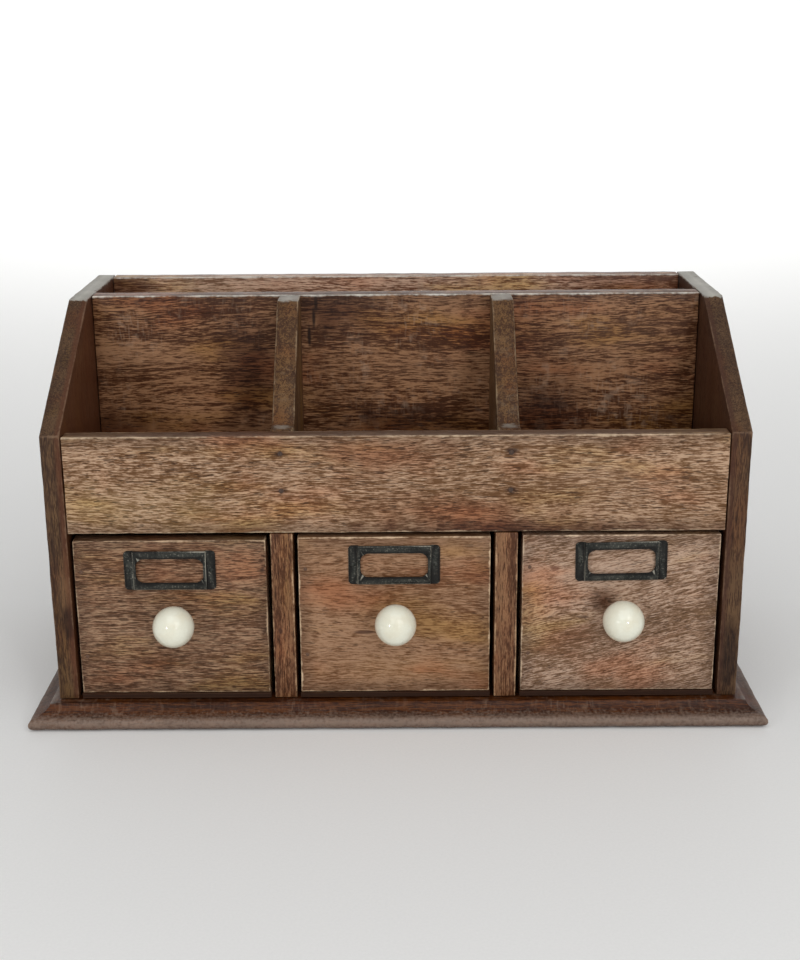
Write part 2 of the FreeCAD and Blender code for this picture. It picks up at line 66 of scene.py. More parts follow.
def paint(tone: Tone) -> tuple[float, float, float, float]:
    """Turn a display colour, 0 to 255 a channel, into a linear shader colour.

    Args:
        tone: red, green and blue as a paint chart gives them.

    Returns:
        Linear red, green, blue and a full alpha.
    """
    linear = [((c / 255 + 0.055) / 1.055) ** 2.4 if c > 10.3 else c / 255 / 12.92 for c in tone]
    return (linear[0], linear[1], linear[2], 1.0)


class Grain(Enum):
    """The way the grain of a board runs, as the turn that lays it along X."""

    ALONG_X = (0.0, 0.0, 0.0)
    ALONG_Y = (0.0, 0.0, -math.pi / 2)
    ALONG_Z = (0.0, math.pi / 2, 0.0)


class Lay(Enum):
    """How a spot lies on the wood: over it, soaked in, or bleached out."""

    COVER = "MIX"
    STAIN = "MULTIPLY"
    BLEACH = "SCREEN"


# ------------------------------------------------------------------ shader wiring
class Wiring:
    """Adds and joins the nodes of one shader tree."""

    def __init__(self, tree: bpy.types.NodeTree) -> None:
        """Keep the tree that the nodes go into."""
        self.tree = tree

    def add(
        self, kind: str, inputs: Mapping[str | int, Any] | None = None, **settings: Any,
    ) -> bpy.types.Node:
        """Add a node, set it up and feed its inputs.

        Args:
            kind: node type without its ShaderNode prefix.
            inputs: socket name or index to a value or to the socket that feeds it.
            settings: attributes of the node.

        Returns:
            The new node.
        """
        node = self.tree.nodes.new("ShaderNode" + kind)
        for key, value in settings.items():
            setattr(node, key, value)
        for key, value in (inputs or {}).items():
            self.feed(node.inputs[key], value)
        return node

    def feed(self, socket: bpy.types.NodeSocket, value: Any) -> None:
        """Join a socket to another, or set its value.

        Args:
            socket: the input that is fed.
            value: the output that feeds it, or a plain value.
        """
        if isinstance(value, bpy.types.NodeSocket):
            self.tree.links.new(value, socket)
        else:
            socket.default_value = value

    def math(self, operation: str, *terms: Any) -> bpy.types.NodeSocket:
        """Work out a number from one to three terms."""
        return self.add("Math", dict(enumerate(terms)), operation=operation).outputs[0]

    def vector(self, operation: str, *terms: Any) -> bpy.types.NodeSocket:
        """Work out a vector, or a number for LENGTH and DOT_PRODUCT."""
        node = self.add("VectorMath", dict(enumerate(terms)), operation=operation)
        return node.outputs["Value" if operation in {"LENGTH", "DOT_PRODUCT"} else "Vector"]

    def step(self, value: Any, start: Any, end: Any) -> bpy.types.NodeSocket:
        """Rise smoothly from 0 at start to 1 at end."""
        inputs = {"Value": value, "From Min": start, "From Max": end}
        return self.add("MapRange", inputs, interpolation_type="SMOOTHSTEP").outputs[0]

    def blend(self, share: Any, first: Any, second: Any, way: str = "MIX") -> bpy.types.NodeSocket:
        """Mix two colours."""
        node = self.add("Mix", {0: share, 6: first, 7: second}, data_type="RGBA", blend_type=way)
        return node.outputs[2]

    def noise(self, place: Any, scale: Any, detail: float = 2.0) -> bpy.types.NodeSocket:
        """Soft noise from 0 to 1 at a number of cells to the metre."""
        return self.add("TexNoise", {"Vector": place, "Scale": scale, "Detail": detail}).outputs[0]

    def drawn(self, place: Any, draw: Place, scale: Any, detail: float = 2.0) -> bpy.types.NodeSocket:
        """Soft noise with its cells drawn out along each axis that has a small share."""
        return self.noise(self.vector("MULTIPLY", place, draw), scale, detail)

    def centred(self, value: Any) -> bpy.types.NodeSocket:
        """Shift a noise of 0 to 1 so that its middle is nought."""
        return self.math("SUBTRACT", value, 0.5)

    def group(self, tree: bpy.types.NodeTree, inputs: Mapping[str, Any]) -> bpy.types.Node:
        """Place a node group and feed its inputs.

        Args:
            tree: the group's own tree.
            inputs: socket name to a value or to the socket that feeds it.

        Returns:
            The group's node.
        """
        node = self.tree.nodes.new("ShaderNodeGroup")
        node.node_tree = tree
        for key, value in inputs.items():
            self.feed(node.inputs[key], value)
        return node


@dataclass(frozen=True)
class Layer:
    """One soft noise of a surface: how it is drawn out, its cells to the metre and its detail."""

    draw: Place
    cells: float
    detail: float = 2.0

    def wire(self, wiring: Wiring, place: Any) -> bpy.types.NodeSocket:
        """Add the noise to a shader tree."""
        return wiring.drawn(place, self.draw, self.cells, self.detail)


PATCHES = Layer((0.5, 1.0, 1.0), 26.0, 3.0)
RIPPLE = Layer((1.0, 0.22, 0.22), 75.0)
STREAKS = Layer((0.05, 1.0, 1.0), 560.0)
FIBRES = Layer((0.085, 1.0, 1.0), 1650.0)
FLECKS = Layer((0.35, 1.0, 1.0), 1500.0)
RUSSET_PLACES = Layer((0.4, 1.0, 1.0), 34.0, 4.0)
HONEY_PLACES = Layer((0.3, 1.0, 1.0), 47.0, 4.0)
CROWDED_PORES = Layer((0.3, 1.0, 1.0), 60.0)
SAW_STROKES = Layer((1.0, 0.2, 0.2), 700.0, 3.0)
PATCH_WEIGHT = 0.7
RIPPLE_WEIGHT = 0.45


def new_group(
    name: str, inputs: Mapping[str, tuple[str, Any]], outputs: Mapping[str, str],
) -> tuple[Wiring, bpy.types.Node, bpy.types.Node]:
    """Start a shader node group with named sockets.

    Args:
        name: what the group does.
        inputs: socket name to its kind (Float, Vector or Color) and default value.
        outputs: socket name to its kind.

    Returns:
        The wiring of the group, its input node and its output node.
    """
    tree = bpy.data.node_groups.new(name, "ShaderNodeTree")
    for key, (kind, value) in inputs.items():
        socket = tree.interface.new_socket(key, in_out="INPUT", socket_type="NodeSocket" + kind)
        if value is not None:
            socket.default_value = value
    for key, kind in outputs.items():
        tree.interface.new_socket(key, in_out="OUTPUT", socket_type="NodeSocket" + kind)
    wiring = Wiring(tree)
    return wiring, tree.nodes.new("NodeGroupInput"), tree.nodes.new("NodeGroupOutput")


@cache
def grain_group() -> bpy.types.NodeTree:
    """Open-pored hardwood, its grain along X: slow bands, fine fibres and short dark pores.

    Returns:
        A group that gives the colour, the height and the sheen of the surface.
    """
    white = paint(WHITE)
    wiring, given, result = new_group(
        "hardwood grain",
        {"Vector": ("Vector", None), "Light": ("Color", white), "Middle": ("Color", white),
         "Dark": ("Color", white), "Pore": ("Color", white), "Warp": ("Float", 0.006),
         "Bands": ("Float", 40.0), "Band Contrast": ("Float", 1.0), "Fleck": ("Float", 0.3),
         "Fibre": ("Float", 2.0), "Streak": ("Float", 0.4),
         "Pore Share": ("Float", 0.4), "Pore Depth": ("Float", 0.7), "Pore Long": ("Float", 1.0)},
        {"Color": "Color", "Height": "Float", "Sheen": "Float"})
    place = given.outputs["Vector"]
    slow = wiring.add("TexNoise", {"Vector": wiring.vector("MULTIPLY", place, (7.0, 22.0, 22.0)),
                                   "Scale": 1.0, "Detail": 1.5}).outputs["Color"]
    sway = wiring.vector("SUBTRACT", slow, (0.5, 0.5, 0.5))
    bend = wiring.add("VectorMath", {0: sway, "Scale": given.outputs["Warp"]}, operation="SCALE")
    lie = wiring.vector("ADD", place, bend.outputs[0])
    bands = wiring.drawn(lie, (0.09, 1.0, 1.0), given.outputs["Bands"], 4.0)
    patches = PATCHES.wire(wiring, lie)
    ripple = RIPPLE.wire(wiring, lie)
    streaks = STREAKS.wire(wiring, lie)
    fibres = FIBRES.wire(wiring, lie)
    flecks = FLECKS.wire(wiring, lie)
    tone = 0.5
    layers = [(bands, given.outputs["Band Contrast"]), (patches, PATCH_WEIGHT), (ripple, RIPPLE_WEIGHT),
              (streaks, given.outputs["Streak"]), (fibres, given.outputs["Fibre"]),
              (flecks, given.outputs["Fleck"])]
    for layer, weight in layers:
        tone = wiring.math("MULTIPLY_ADD", wiring.centred(layer), weight, tone)
    colour = wiring.blend(wiring.step(tone, 0.12, 0.52), given.outputs["Light"], given.outputs["Middle"])
    colour = wiring.blend(wiring.step(tone, 0.46, 0.88), colour, given.outputs["Dark"])
    russet = wiring.step(RUSSET_PLACES.wire(wiring, lie), 0.5, 0.72)
    honey = wiring.step(HONEY_PLACES.wire(wiring, place), 0.5, 0.74)
    for mask, tint in ((russet, RUSSET), (honey, HONEY)):
        colour = wiring.blend(mask, colour, paint(tint), Lay.STAIN.value)
    run = wiring.add("CombineXYZ", {"X": given.outputs["Pore Long"], "Y": 1.0, "Z": 1.0}).outputs[0]
    dashes = wiring.vector("MULTIPLY", wiring.vector("MULTIPLY", lie, (0.09, 1.0, 1.0)), run)
    dashes = wiring.noise(dashes, 1750.0, 1.0)
    crowd = CROWDED_PORES.wire(wiring, lie)
    level = wiring.math("MULTIPLY_ADD", wiring.centred(crowd), 0.2, given.outputs["Pore Share"])
    ceiling = wiring.math("SUBTRACT", 1.0, level)
    pores = wiring.step(dashes, ceiling, wiring.math("ADD", ceiling, 0.09))
    depth = wiring.math("MULTIPLY", pores, given.outputs["Pore Depth"])
    colour = wiring.blend(depth, colour, given.outputs["Pore"])
    height = wiring.math("MULTIPLY_ADD", fibres, 0.5, wiring.math("MULTIPLY", pores, -0.9))
    wiring.feed(result.inputs["Color"], colour)
    wiring.feed(result.inputs["Height"], wiring.math("MULTIPLY_ADD", flecks, 0.3, height))
    wiring.feed(result.inputs["Sheen"], wiring.math("MULTIPLY_ADD", pores, 0.5, patches))
    return wiring.tree


@cache
def edge_group() -> bpy.types.NodeTree:
    """Wear along the arrises of a board between two corners, under an upper slope.

    Returns:
        A group that gives a ragged pale rim, and beside it a soft dark band that is grime together with
        painted shade.
    """
    wiring, given, result = new_group(
        "edge wear",
        {"Vector": ("Vector", None), "Low": ("Vector", None), "High": ("Vector", None),
         "Slope Way": ("Vector", None), "Slope Reach": ("Float", 10.0), "Width": ("Float", 0.002),
         "Ragged": ("Float", 1.0)},
        {"Rim": "Float", "Grime And Shade": "Float"})
    place = given.outputs["Vector"]
    inner = wiring.vector("MINIMUM", wiring.vector("SUBTRACT", place, given.outputs["Low"]),
                          wiring.vector("SUBTRACT", given.outputs["High"], place))
    split = wiring.add("SeparateXYZ", {0: inner})
    under = wiring.math("SUBTRACT", given.outputs["Slope Reach"],
                        wiring.vector("DOT_PRODUCT", place, given.outputs["Slope Way"]))
    up = wiring.math("MINIMUM", split.outputs["Z"], under)
    across, along = split.outputs["X"], split.outputs["Y"]
    nearest = wiring.math("MINIMUM", across, along)
    farther = wiring.math("MAXIMUM", across, along)
    second = wiring.math("MAXIMUM", nearest, wiring.math("MINIMUM", farther, up))
    coarse = wiring.centred(wiring.noise(place, 55.0, 4.0))
    fine = wiring.centred(wiring.noise(place, 420.0, 2.0))
    ragged = wiring.math("MULTIPLY_ADD", fine, 0.6, coarse)
    ragged = wiring.math("MULTIPLY", ragged, given.outputs["Ragged"])
    wander = wiring.math("MULTIPLY", given.outputs["Width"], 3.0)
    reach = wiring.math("MULTIPLY_ADD", ragged, wander, second)
    wiring.feed(result.inputs["Rim"], wiring.step(reach, given.outputs["Width"], 0.0))
    # Painted shade together with grime: a soft dark band within about 11 mm of the free edges.
    grime_and_shade = wiring.math("MULTIPLY_ADD", coarse, 0.012, second)
    wiring.feed(result.inputs["Grime And Shade"], wiring.step(grime_and_shade, 0.011, 0.0005))
    return wiring.tree


@cache
def spot_group() -> bpy.types.NodeTree:
    """A ragged patch about a point, such as a knot, a smear or a rubbed place.

    Returns:
        A group that gives the mask of the patch.
    """
    wiring, given, result = new_group(
        "patch",
        {"Vector": ("Vector", None), "Centre": ("Vector", None), "Radii": ("Vector", None),
         "Ragged": ("Float", 0.6), "Soft": ("Float", 0.5), "Fine": ("Float", 90.0)},
        {"Mask": "Float"})
    place = given.outputs["Vector"]
    out = wiring.vector("SUBTRACT", place, given.outputs["Centre"])
    out = wiring.vector("DIVIDE", out, given.outputs["Radii"])
    broken = wiring.math("SUBTRACT", wiring.noise(place, given.outputs["Fine"], 4.0), 0.5)
    away = wiring.math("MULTIPLY_ADD", broken, given.outputs["Ragged"], wiring.vector("LENGTH", out))
    inside = wiring.math("SUBTRACT", 1.0, given.outputs["Soft"])
    wiring.feed(result.inputs["Mask"], wiring.step(away, 1.0, inside))
    return wiring.tree


@cache
def rub_group() -> bpy.types.NodeTree:
    """Pale saw and rub marks that cross the grain in patches.

    Returns:
        A group that gives the mask of the marks and of chalky rubbed places.
    """
    wiring, given, result = new_group(
        "rub marks", {"Vector": ("Vector", None), "Share": ("Float", 0.4)},
        {"Marks": "Float", "Chalk": "Float"})
    place = given.outputs["Vector"]
    across = SAW_STROKES.wire(wiring, place)
    where = wiring.noise(place, 30.0, 3.0)
    limit = wiring.math("SUBTRACT", 1.0, given.outputs["Share"])
    patch = wiring.step(where, wiring.math("SUBTRACT", limit, 0.12), wiring.math("ADD", limit, 0.1))
    wiring.feed(result.inputs["Marks"], wiring.math("MULTIPLY", wiring.step(across, 0.5, 0.72), patch))
    chalk = wiring.step(wiring.noise(place, 170.0, 5.0), 0.52, 0.72)
    wiring.feed(result.inputs["Chalk"], wiring.math("MULTIPLY", chalk, patch))
    return wiring.tree


@cache
def metal_group() -> bpy.types.NodeTree:
    """Scuffs, pits, cloudy stains and pale arrises of a metal surface; the pale arrises are wear together
    with painted highlight.

    Returns:
        A group that gives the four masks, and one of the dirt and painted shade in its inner corners.
    """
    wiring, given, result = new_group(
        "metal surface", {"Vector": ("Vector", None)},
        {"Scuffs": "Float", "Pits": "Float", "Clouds": "Float", "Arris": "Float", "Corner": "Float"})
    place = given.outputs["Vector"]
    blotches = wiring.noise(place, 900.0, 5.0)
    wiring.feed(result.inputs["Scuffs"], wiring.step(blotches, 0.53, 0.7))
    wiring.feed(result.inputs["Pits"], wiring.step(wiring.noise(place, 1500.0, 2.0), 0.6, 0.8))
    wiring.feed(result.inputs["Clouds"], wiring.step(wiring.noise(place, 170.0, 4.0), 0.38, 0.66))
    bend = wiring.add("NewGeometry").outputs["Pointiness"]
    worn = wiring.math("MULTIPLY_ADD", wiring.centred(blotches), 0.12, bend)
    # Painted highlight together with wear: the arrises are made pale where the surface bends outward.
    wiring.feed(result.inputs["Arris"], wiring.step(worn, 0.506, 0.545))
    # Painted shade together with dirt in the inner corners, where the surface bends inward.
    wiring.feed(result.inputs["Corner"], wiring.step(bend, 0.495, 0.45))
    return wiring.tree


def new_material(name: str) -> tuple[bpy.types.Material, Wiring, bpy.types.Node, bpy.types.NodeSocket]:
    """Start a material.

    Args:
        name: the material's name.

    Returns:
        The material, its wiring, its Principled shader and the object coordinates.
    """
    material = bpy.data.materials.new(name)
    material.use_nodes = True
    wiring = Wiring(material.node_tree)
    shader = material.node_tree.nodes["Principled BSDF"]
    place = wiring.add("TexCoord").outputs["Object"]
    return material, wiring, shader, place


def dress_shader(
    wiring: Wiring, shader: bpy.types.Node, colour: Any, rough: Any, height: Any, depth: float,
    strength: float = 1.0,
) -> None:
    """Join the colour, the roughness and the bumps of a finish to its shader.

    Args:
        wiring: the wiring of the material.
        shader: its Principled shader.
        colour: the socket of its colour.
        rough: the socket of its roughness.
        height: the socket of its bumps.
        depth: how deep they are, in metres.
        strength: how strongly they show.
    """
    bump = wiring.add("Bump", {"Height": height, "Strength": strength, "Distance": depth})
    wiring.feed(shader.inputs["Base Color"], colour)
    wiring.feed(shader.inputs["Roughness"], rough)
    wiring.feed(shader.inputs["Normal"], bump.outputs["Normal"])


# ------------------------------------------------------------------ finishes
@dataclass(frozen=True)
class Spot:
    """A stain, knot, smear or rubbed place on a board: where, how large and which tone."""

    centre: Place
    radii: Place
    tone: Tone
    strength: float = 0.6
    ragged: float = 0.7
    soft: float = 0.6
    fine: float = 90.0
    lay: Lay = Lay.COVER


@dataclass(frozen=True)
class Bounds:
    """The block a board was cut from, and the slope that its upper front was cut to."""

    low: Vector
    high: Vector
    slope_way: Place = (0.0, 0.0, 0.0)
    slope_reach: float = 10.0


@dataclass(frozen=True)
class Wood:
    """A waxed hardwood finish: tones, grain, pores and how worn it is."""

    light: Tone
    middle: Tone
    dark: Tone
    pore: Tone = (50, 28, 13)
    worn: Tone = (205, 178, 148)
    # grime_and_shade is the tone of the dark band along the free edges: grime together with painted shade.
    grime_and_shade: Tone = (52, 34, 25)
    along: Grain = Grain.ALONG_X
    lean: float = 0.0
    warp: float = 0.006
    bands: float = 42.0
    band_contrast: float = 1.0
    fleck: float = 0.9
    fibre: float = 2.6
    streak: float = 0.6
    pore_share: float = 0.36
    pore_depth: float = 0.75
    pore_long: float = 1.0
    wear: float = 0.9
    wear_width: float = 0.0013
    ragged: float = 0.75
    grimy_and_shaded: float = 0.35
    rubbed: float = 0.0
    rub_tone: Tone = (190, 170, 150)
    rough: float = 0.42
    gloss: float = 0.2
    coat: float = 0.05
    coat_rough: float = 0.3
    bump: float = 0.00016
    sheen: float = 0.35
    saw_marks: float = 0.22
    chalk: float = 0.35
    chalk_rough: float = 0.25

    def material(
        self, name: str, block: Bounds, shift: float = 0.0, spots: Sequence[Spot] = (),
    ) -> bpy.types.Material:
        """Wire this finish for one board.

        Args:
            name: the material's name.
            block: the block of the board, for the wear along its edges.
            shift: how far into the timber this board was cut, so that no two match.
            spots: its own stains and knots.

        Returns:
            The material.
        """
        material, wiring, shader, place = new_material(name)
        turn = (0.0, self.along.value[1] + self.lean, self.along.value[2])
        turned = wiring.add("Mapping", {"Vector": place, "Rotation": turn,
                                        "Location": (shift * 1.7, shift, shift * 0.6)}).outputs[0]
        grain = wiring.group(grain_group(), {
            "Vector": turned, "Light": paint(self.light), "Middle": paint(self.middle),
            "Dark": paint(self.dark), "Pore": paint(self.pore), "Warp": self.warp,
            "Bands": self.bands, "Band Contrast": self.band_contrast, "Fleck": self.fleck,
            "Fibre": self.fibre, "Streak": self.streak, "Pore Share": self.pore_share,
            "Pore Depth": self.pore_depth, "Pore Long": self.pore_long})
        colour = grain.outputs["Color"]
        sheen = wiring.centred(grain.outputs["Sheen"])
        rough = wiring.math("MULTIPLY_ADD", sheen, self.sheen, self.rough)
        if self.rubbed:
            marks = wiring.group(rub_group(), {"Vector": turned, "Share": self.rubbed})
            for key, strength in (("Marks", self.saw_marks), ("Chalk", self.chalk)):
                share = wiring.math("MULTIPLY", marks.outputs[key], strength)
                colour = wiring.blend(share, colour, paint(self.rub_tone))
            rough = wiring.math("MULTIPLY_ADD", marks.outputs["Chalk"], self.chalk_rough, rough)
        for spot in spots:
            mask = wiring.group(spot_group(), {
                "Vector": place, "Centre": spot.centre, "Radii": spot.radii, "Ragged": spot.ragged,
                "Soft": spot.soft, "Fine": spot.fine}).outputs["Mask"]
            share = wiring.math("MULTIPLY", mask, spot.strength)
            colour = wiring.blend(share, colour, paint(spot.tone), spot.lay.value)
        edges = wiring.group(edge_group(), {
            "Vector": place, "Low": block.low, "High": block.high, "Slope Way": block.slope_way,
            "Slope Reach": block.slope_reach, "Width": self.wear_width, "Ragged": self.ragged})
        # The dark band along the edges is grime together with painted shade; the pale rim is wear.
        for key, strength, tone in (("Grime And Shade", self.grimy_and_shaded, self.grime_and_shade), ("Rim", self.wear, self.worn)):
            share = wiring.math("MULTIPLY", edges.outputs[key], strength)
            colour = wiring.blend(share, colour, paint(tone))
        dress_shader(wiring, shader, colour, rough, grain.outputs["Height"], self.bump)
        shader.inputs["Specular IOR Level"].default_value = self.gloss
        shader.inputs["Coat Weight"].default_value = self.coat
        shader.inputs["Coat Roughness"].default_value = self.coat_rough
        return material


@dataclass(frozen=True)
class Plywood:
    """Thin drawer-bottom ply: three veneers, the middle one dark end grain."""

    face: Tone = (128, 92, 66)
    middle: Tone = (112, 79, 56)
    core: Tone = (84, 58, 42)
    glue: Tone = (46, 31, 24)
    # The front edge of the ply is painted dark as painted shadow, in this tone, over this reach and at this
    # share.
    grime_and_shade: Tone = (40, 22, 14)
    grimy_and_shaded: float = 0.003
    painted_shadow_share: float = 0.85
    pore_share: float = 0.3
    wander: float = 0.14
    rough: float = 0.6
    gloss: float = 0.15
    bump: float = 0.0002

    def material(self, name: str, block: Bounds) -> bpy.types.Material:
        """Wire the ply, its veneers stacked between the faces of its block.

        Args:
            name: the material's name.
            block: the block of the ply.

        Returns:
            The material.
        """
        material, wiring, shader, place = new_material(name)
        split = wiring.add("SeparateXYZ", {0: place})
        up = wiring.math("SUBTRACT", split.outputs["Z"], block.low.z)
        share = wiring.math("DIVIDE", up, block.high.z - block.low.z)
        cloud = wiring.noise(place, 240.0, 3.0)
        share = wiring.math("MULTIPLY_ADD", wiring.centred(cloud), self.wander, share)
        away = wiring.math("ABSOLUTE", wiring.centred(share))
        grain = wiring.group(grain_group(), {
            "Vector": place, "Light": paint(self.face), "Middle": paint(self.middle),
            "Dark": paint(self.core), "Pore": paint(self.glue), "Pore Share": self.pore_share})
        colour = wiring.blend(wiring.step(away, 0.24, 0.16), grain.outputs["Color"], paint(self.core))
        from_line = wiring.math("ABSOLUTE", wiring.math("SUBTRACT", away, 0.2))
        colour = wiring.blend(wiring.step(from_line, 0.05, 0.01), colour, paint(self.glue))
        # Painted shadow: the front edge of the ply, under the drawer front, is darkened.
        grime_and_shade = wiring.step(split.outputs["Y"], block.low.y + self.grimy_and_shaded, block.low.y)
        colour = wiring.blend(wiring.math("MULTIPLY", grime_and_shade, self.painted_shadow_share), colour, paint(self.grime_and_shade))
        rough = wiring.math("MULTIPLY_ADD", cloud, 0.2, self.rough)
        dress_shader(wiring, shader, colour, rough, grain.outputs["Height"], self.bump, 0.8)
        shader.inputs["Specular IOR Level"].default_value = self.gloss
        return material


@dataclass(frozen=True)
class Metal:
    """A metal finish: its body, its stains and how bright its scuffs are."""

    body: Tone
    stain: Tone
    bright: Tone
    metallic: float = 1.0
    rough: float = 0.4
    scuffed: float = 0.4
    clouded: float = 0.6
    # How strongly the arrises are painted pale and the inner corners dark: wear and dirt together with
    # painted highlight and painted shade.
    bare_and_painted_light: float = 0.0
    bump: float = 0.00008
    # dirt_and_shade is the tone of the inner corners: dirt together with painted shade.
    dirt_and_shade: Tone = (24, 22, 20)

    def material(self, name: str) -> bpy.types.Material:
        """Wire the metal with its stains, scuffs and pits.

        Args:
            name: the material's name.

        Returns:
            The material.
        """
        material, wiring, shader, place = new_material(name)
        surface = wiring.group(metal_group(), {"Vector": place})
        scuffs, pits, clouds = (surface.outputs[key] for key in ("Scuffs", "Pits", "Clouds"))
        stained = wiring.math("MULTIPLY", clouds, self.clouded)
        colour = wiring.blend(stained, paint(self.body), paint(self.stain))
        # Painted highlight together with worn bare metal on the arrises.
        arris = wiring.math("MULTIPLY", surface.outputs["Arris"], self.bare_and_painted_light)
        bright = wiring.math("MAXIMUM", wiring.math("MULTIPLY", scuffs, self.scuffed), arris)
        colour = wiring.blend(bright, colour, paint(self.bright))
        # Painted shade together with dirt: the inner corners are darkened.
        corner = wiring.math("MULTIPLY", surface.outputs["Corner"], self.bare_and_painted_light)
        colour = wiring.blend(corner, colour, paint(self.dirt_and_shade))
        rough = wiring.math("MULTIPLY_ADD", clouds, 0.25, self.rough)
        height = wiring.math("MULTIPLY_ADD", clouds, 0.5, wiring.math("MULTIPLY", pits, -1.0))
        dress_shader(wiring, shader, colour, rough, height, self.bump)
        metallic = wiring.math("MULTIPLY_ADD", bright, 1.0 - self.metallic, self.metallic)
        wiring.feed(shader.inputs["Metallic"], metallic)
        return material


@dataclass(frozen=True)
class Glaze:
    """Ivory glazed ceramic, faintly mottled, with a few darker specks."""

    body: Tone = (240, 240, 222)
    shade: Tone = (234, 230, 208)
    speck: Tone = (170, 150, 120)
    specked: float = 0.4
    rough: float = 0.22
    gloss: float = 0.3
    coat: float = 1.0
    coat_rough: float = 0.06
    bump: float = 0.00012

    def material(self, name: str) -> bpy.types.Material:
        """Wire the glaze.

        Args:
            name: the material's name.

        Returns:
            The material.
        """
        material, wiring, shader, place = new_material(name)
        mottle = wiring.step(wiring.noise(place, 110.0, 4.0), 0.35, 0.7)
        specks = wiring.step(wiring.noise(place, 1100.0, 1.0), 0.76, 0.82)
        colour = wiring.blend(mottle, paint(self.body), paint(self.shade))
        colour = wiring.blend(wiring.math("MULTIPLY", specks, self.specked), colour, paint(self.speck))
        rough = wiring.math("MULTIPLY_ADD", mottle, 0.1, self.rough)
        dress_shader(wiring, shader, colour, rough, wiring.noise(place, 190.0, 2.0), self.bump, 0.5)
        shader.inputs["Specular IOR Level"].default_value = self.gloss
        shader.inputs["Coat Weight"].default_value = self.coat
        shader.inputs["Coat Roughness"].default_value = self.coat_rough
        return material


@dataclass(frozen=True)
class Filler:
    """Dark wax pressed into the hole over a punched nail."""

    body: Tone = (62, 42, 31)
    dust: Tone = (104, 78, 58)
    rough: float = 0.45
    bump: float = 0.0002

    def material(self, name: str) -> bpy.types.Material:
        """Wire the wax, crumbly and a little dusty.

        Args:
            name: the material's name.

        Returns:
            The material.
        """
        material, wiring, shader, place = new_material(name)
        crumbs = wiring.noise(place, 1400.0, 3.0)
        colour = wiring.blend(wiring.step(crumbs, 0.5, 0.8), paint(self.body), paint(self.dust))
        rough = wiring.math("MULTIPLY_ADD", crumbs, 0.3, self.rough)
        dress_shader(wiring, shader, colour, rough, crumbs, self.bump)
        return material


# ------------------------------------------------------------------ bench work
Choose = Callable[[Any], bool]
NAIL_REACH = 0.0025


def deselect() -> None:
    """Leave nothing selected."""
    bpy.ops.object.select_all(action="DESELECT")


def hold(piece: bpy.types.Object) -> None:
    """Make a piece the only one selected, and the active one.

    Args:
        piece: the piece.
    """
    deselect()
    piece.select_set(True)
    bpy.context.view_layer.objects.active = piece


def settle(piece: bpy.types.Object, name: str) -> bpy.types.Object:
    """Name a piece and move its place, turn and scale into its mesh.

    Args:
        piece: the piece.
        name: its name, and its mesh's.

    Returns:
        The piece.
    """
    hold(piece)
    bpy.ops.object.transform_apply(location=True, rotation=True, scale=True)
    piece.name = name
    piece.data.name = name
    return piece


def edit(piece: bpy.types.Object, mode: str = "EDGE") -> None:
    """Open a piece for shaping with nothing selected.

    Args:
        piece: the piece.
        mode: VERT, EDGE or FACE.
    """
    hold(piece)
    bpy.ops.object.mode_set(mode="EDIT")
    bpy.ops.mesh.select_mode(type=mode)
    bpy.ops.mesh.select_all(action="DESELECT")


def close() -> None:
    """Leave edit mode."""
    bpy.ops.object.mode_set(mode="OBJECT")


def pick(piece: bpy.types.Object, kind: str, test: Choose) -> int:
    """Select the parts of an opened mesh that pass a test.

    Args:
        piece: the piece, in edit mode.
        kind: VERT, EDGE or FACE.
        test: told a vertex, the two ends of an edge, or a face.

    Returns:
        How many were selected.
    """
    bpy.ops.mesh.select_mode(type=kind)
    bpy.ops.mesh.select_all(action="DESELECT")
    bpy.ops.object.mode_set(mode="OBJECT")
    mesh = piece.data
    count = 0
    if kind == "VERT":
        for vertex in mesh.vertices:
            vertex.select = test(vertex.co)
            count += vertex.select
    elif kind == "EDGE":
        for edge in mesh.edges:
            edge.select = test([mesh.vertices[index].co for index in edge.vertices])
            count += edge.select
    else:
        for face in mesh.polygons:
            face.select = test(face)
            count += face.select
    bpy.ops.object.mode_set(mode="EDIT")
    return count


def block(name: str, low: Vector, high: Vector) -> bpy.types.Object:
    """A rough block between two corners, ready to be shaped.

    Args:
        name: the block's name.
        low: its lowest corner.
        high: its highest corner.

    Returns:
        The block.
    """
    deselect()
    bpy.ops.mesh.primitive_cube_add(size=1.0, location=(low + high) / 2, scale=high - low)
    return settle(bpy.context.active_object, name)


def apply_all(piece: bpy.types.Object) -> None:
    """Apply every modifier of a piece in order.

    Args:
        piece: the piece.
    """
    hold(piece)
    for modifier in list(piece.modifiers):
        bpy.ops.object.modifier_apply(modifier=modifier.name)


def smooth(piece: bpy.types.Object, degrees: float = 40.0) -> None:
    """Shade a piece smooth, but for its sharp edges."""
    hold(piece)
    bpy.ops.object.shade_smooth_by_angle(angle=math.radians(degrees))


@cache
def rough_texture(cell_mm: float) -> bpy.types.Texture:
    """A cloudy texture with bumps of a given size, for denting a surface.

    Args:
        cell_mm: size of the bumps, in millimetres.

    Returns:
        The texture, the same one for the same size.
    """
    texture = bpy.data.textures.new(f"dents {cell_mm} mm", "CLOUDS")
    texture.noise_scale = cell_mm * MM
    texture.noise_depth = 2
    return texture


def dent(piece: bpy.types.Object, cell_mm: float, depth: float, group: str = "") -> None:
    """Sink a surface unevenly, never above where it was.

    Args:
        piece: the piece.
        cell_mm: size of the dents, in millimetres.
        depth: how deep the deepest is, in metres.
        group: the vertex group that is dented, or all of the piece.
    """
    modifier = piece.modifiers.new("dents", "DISPLACE")
    modifier.texture = rough_texture(cell_mm)
    modifier.texture_coords = "LOCAL"
    modifier.mid_level = 1.0
    modifier.strength = depth
    modifier.vertex_group = group


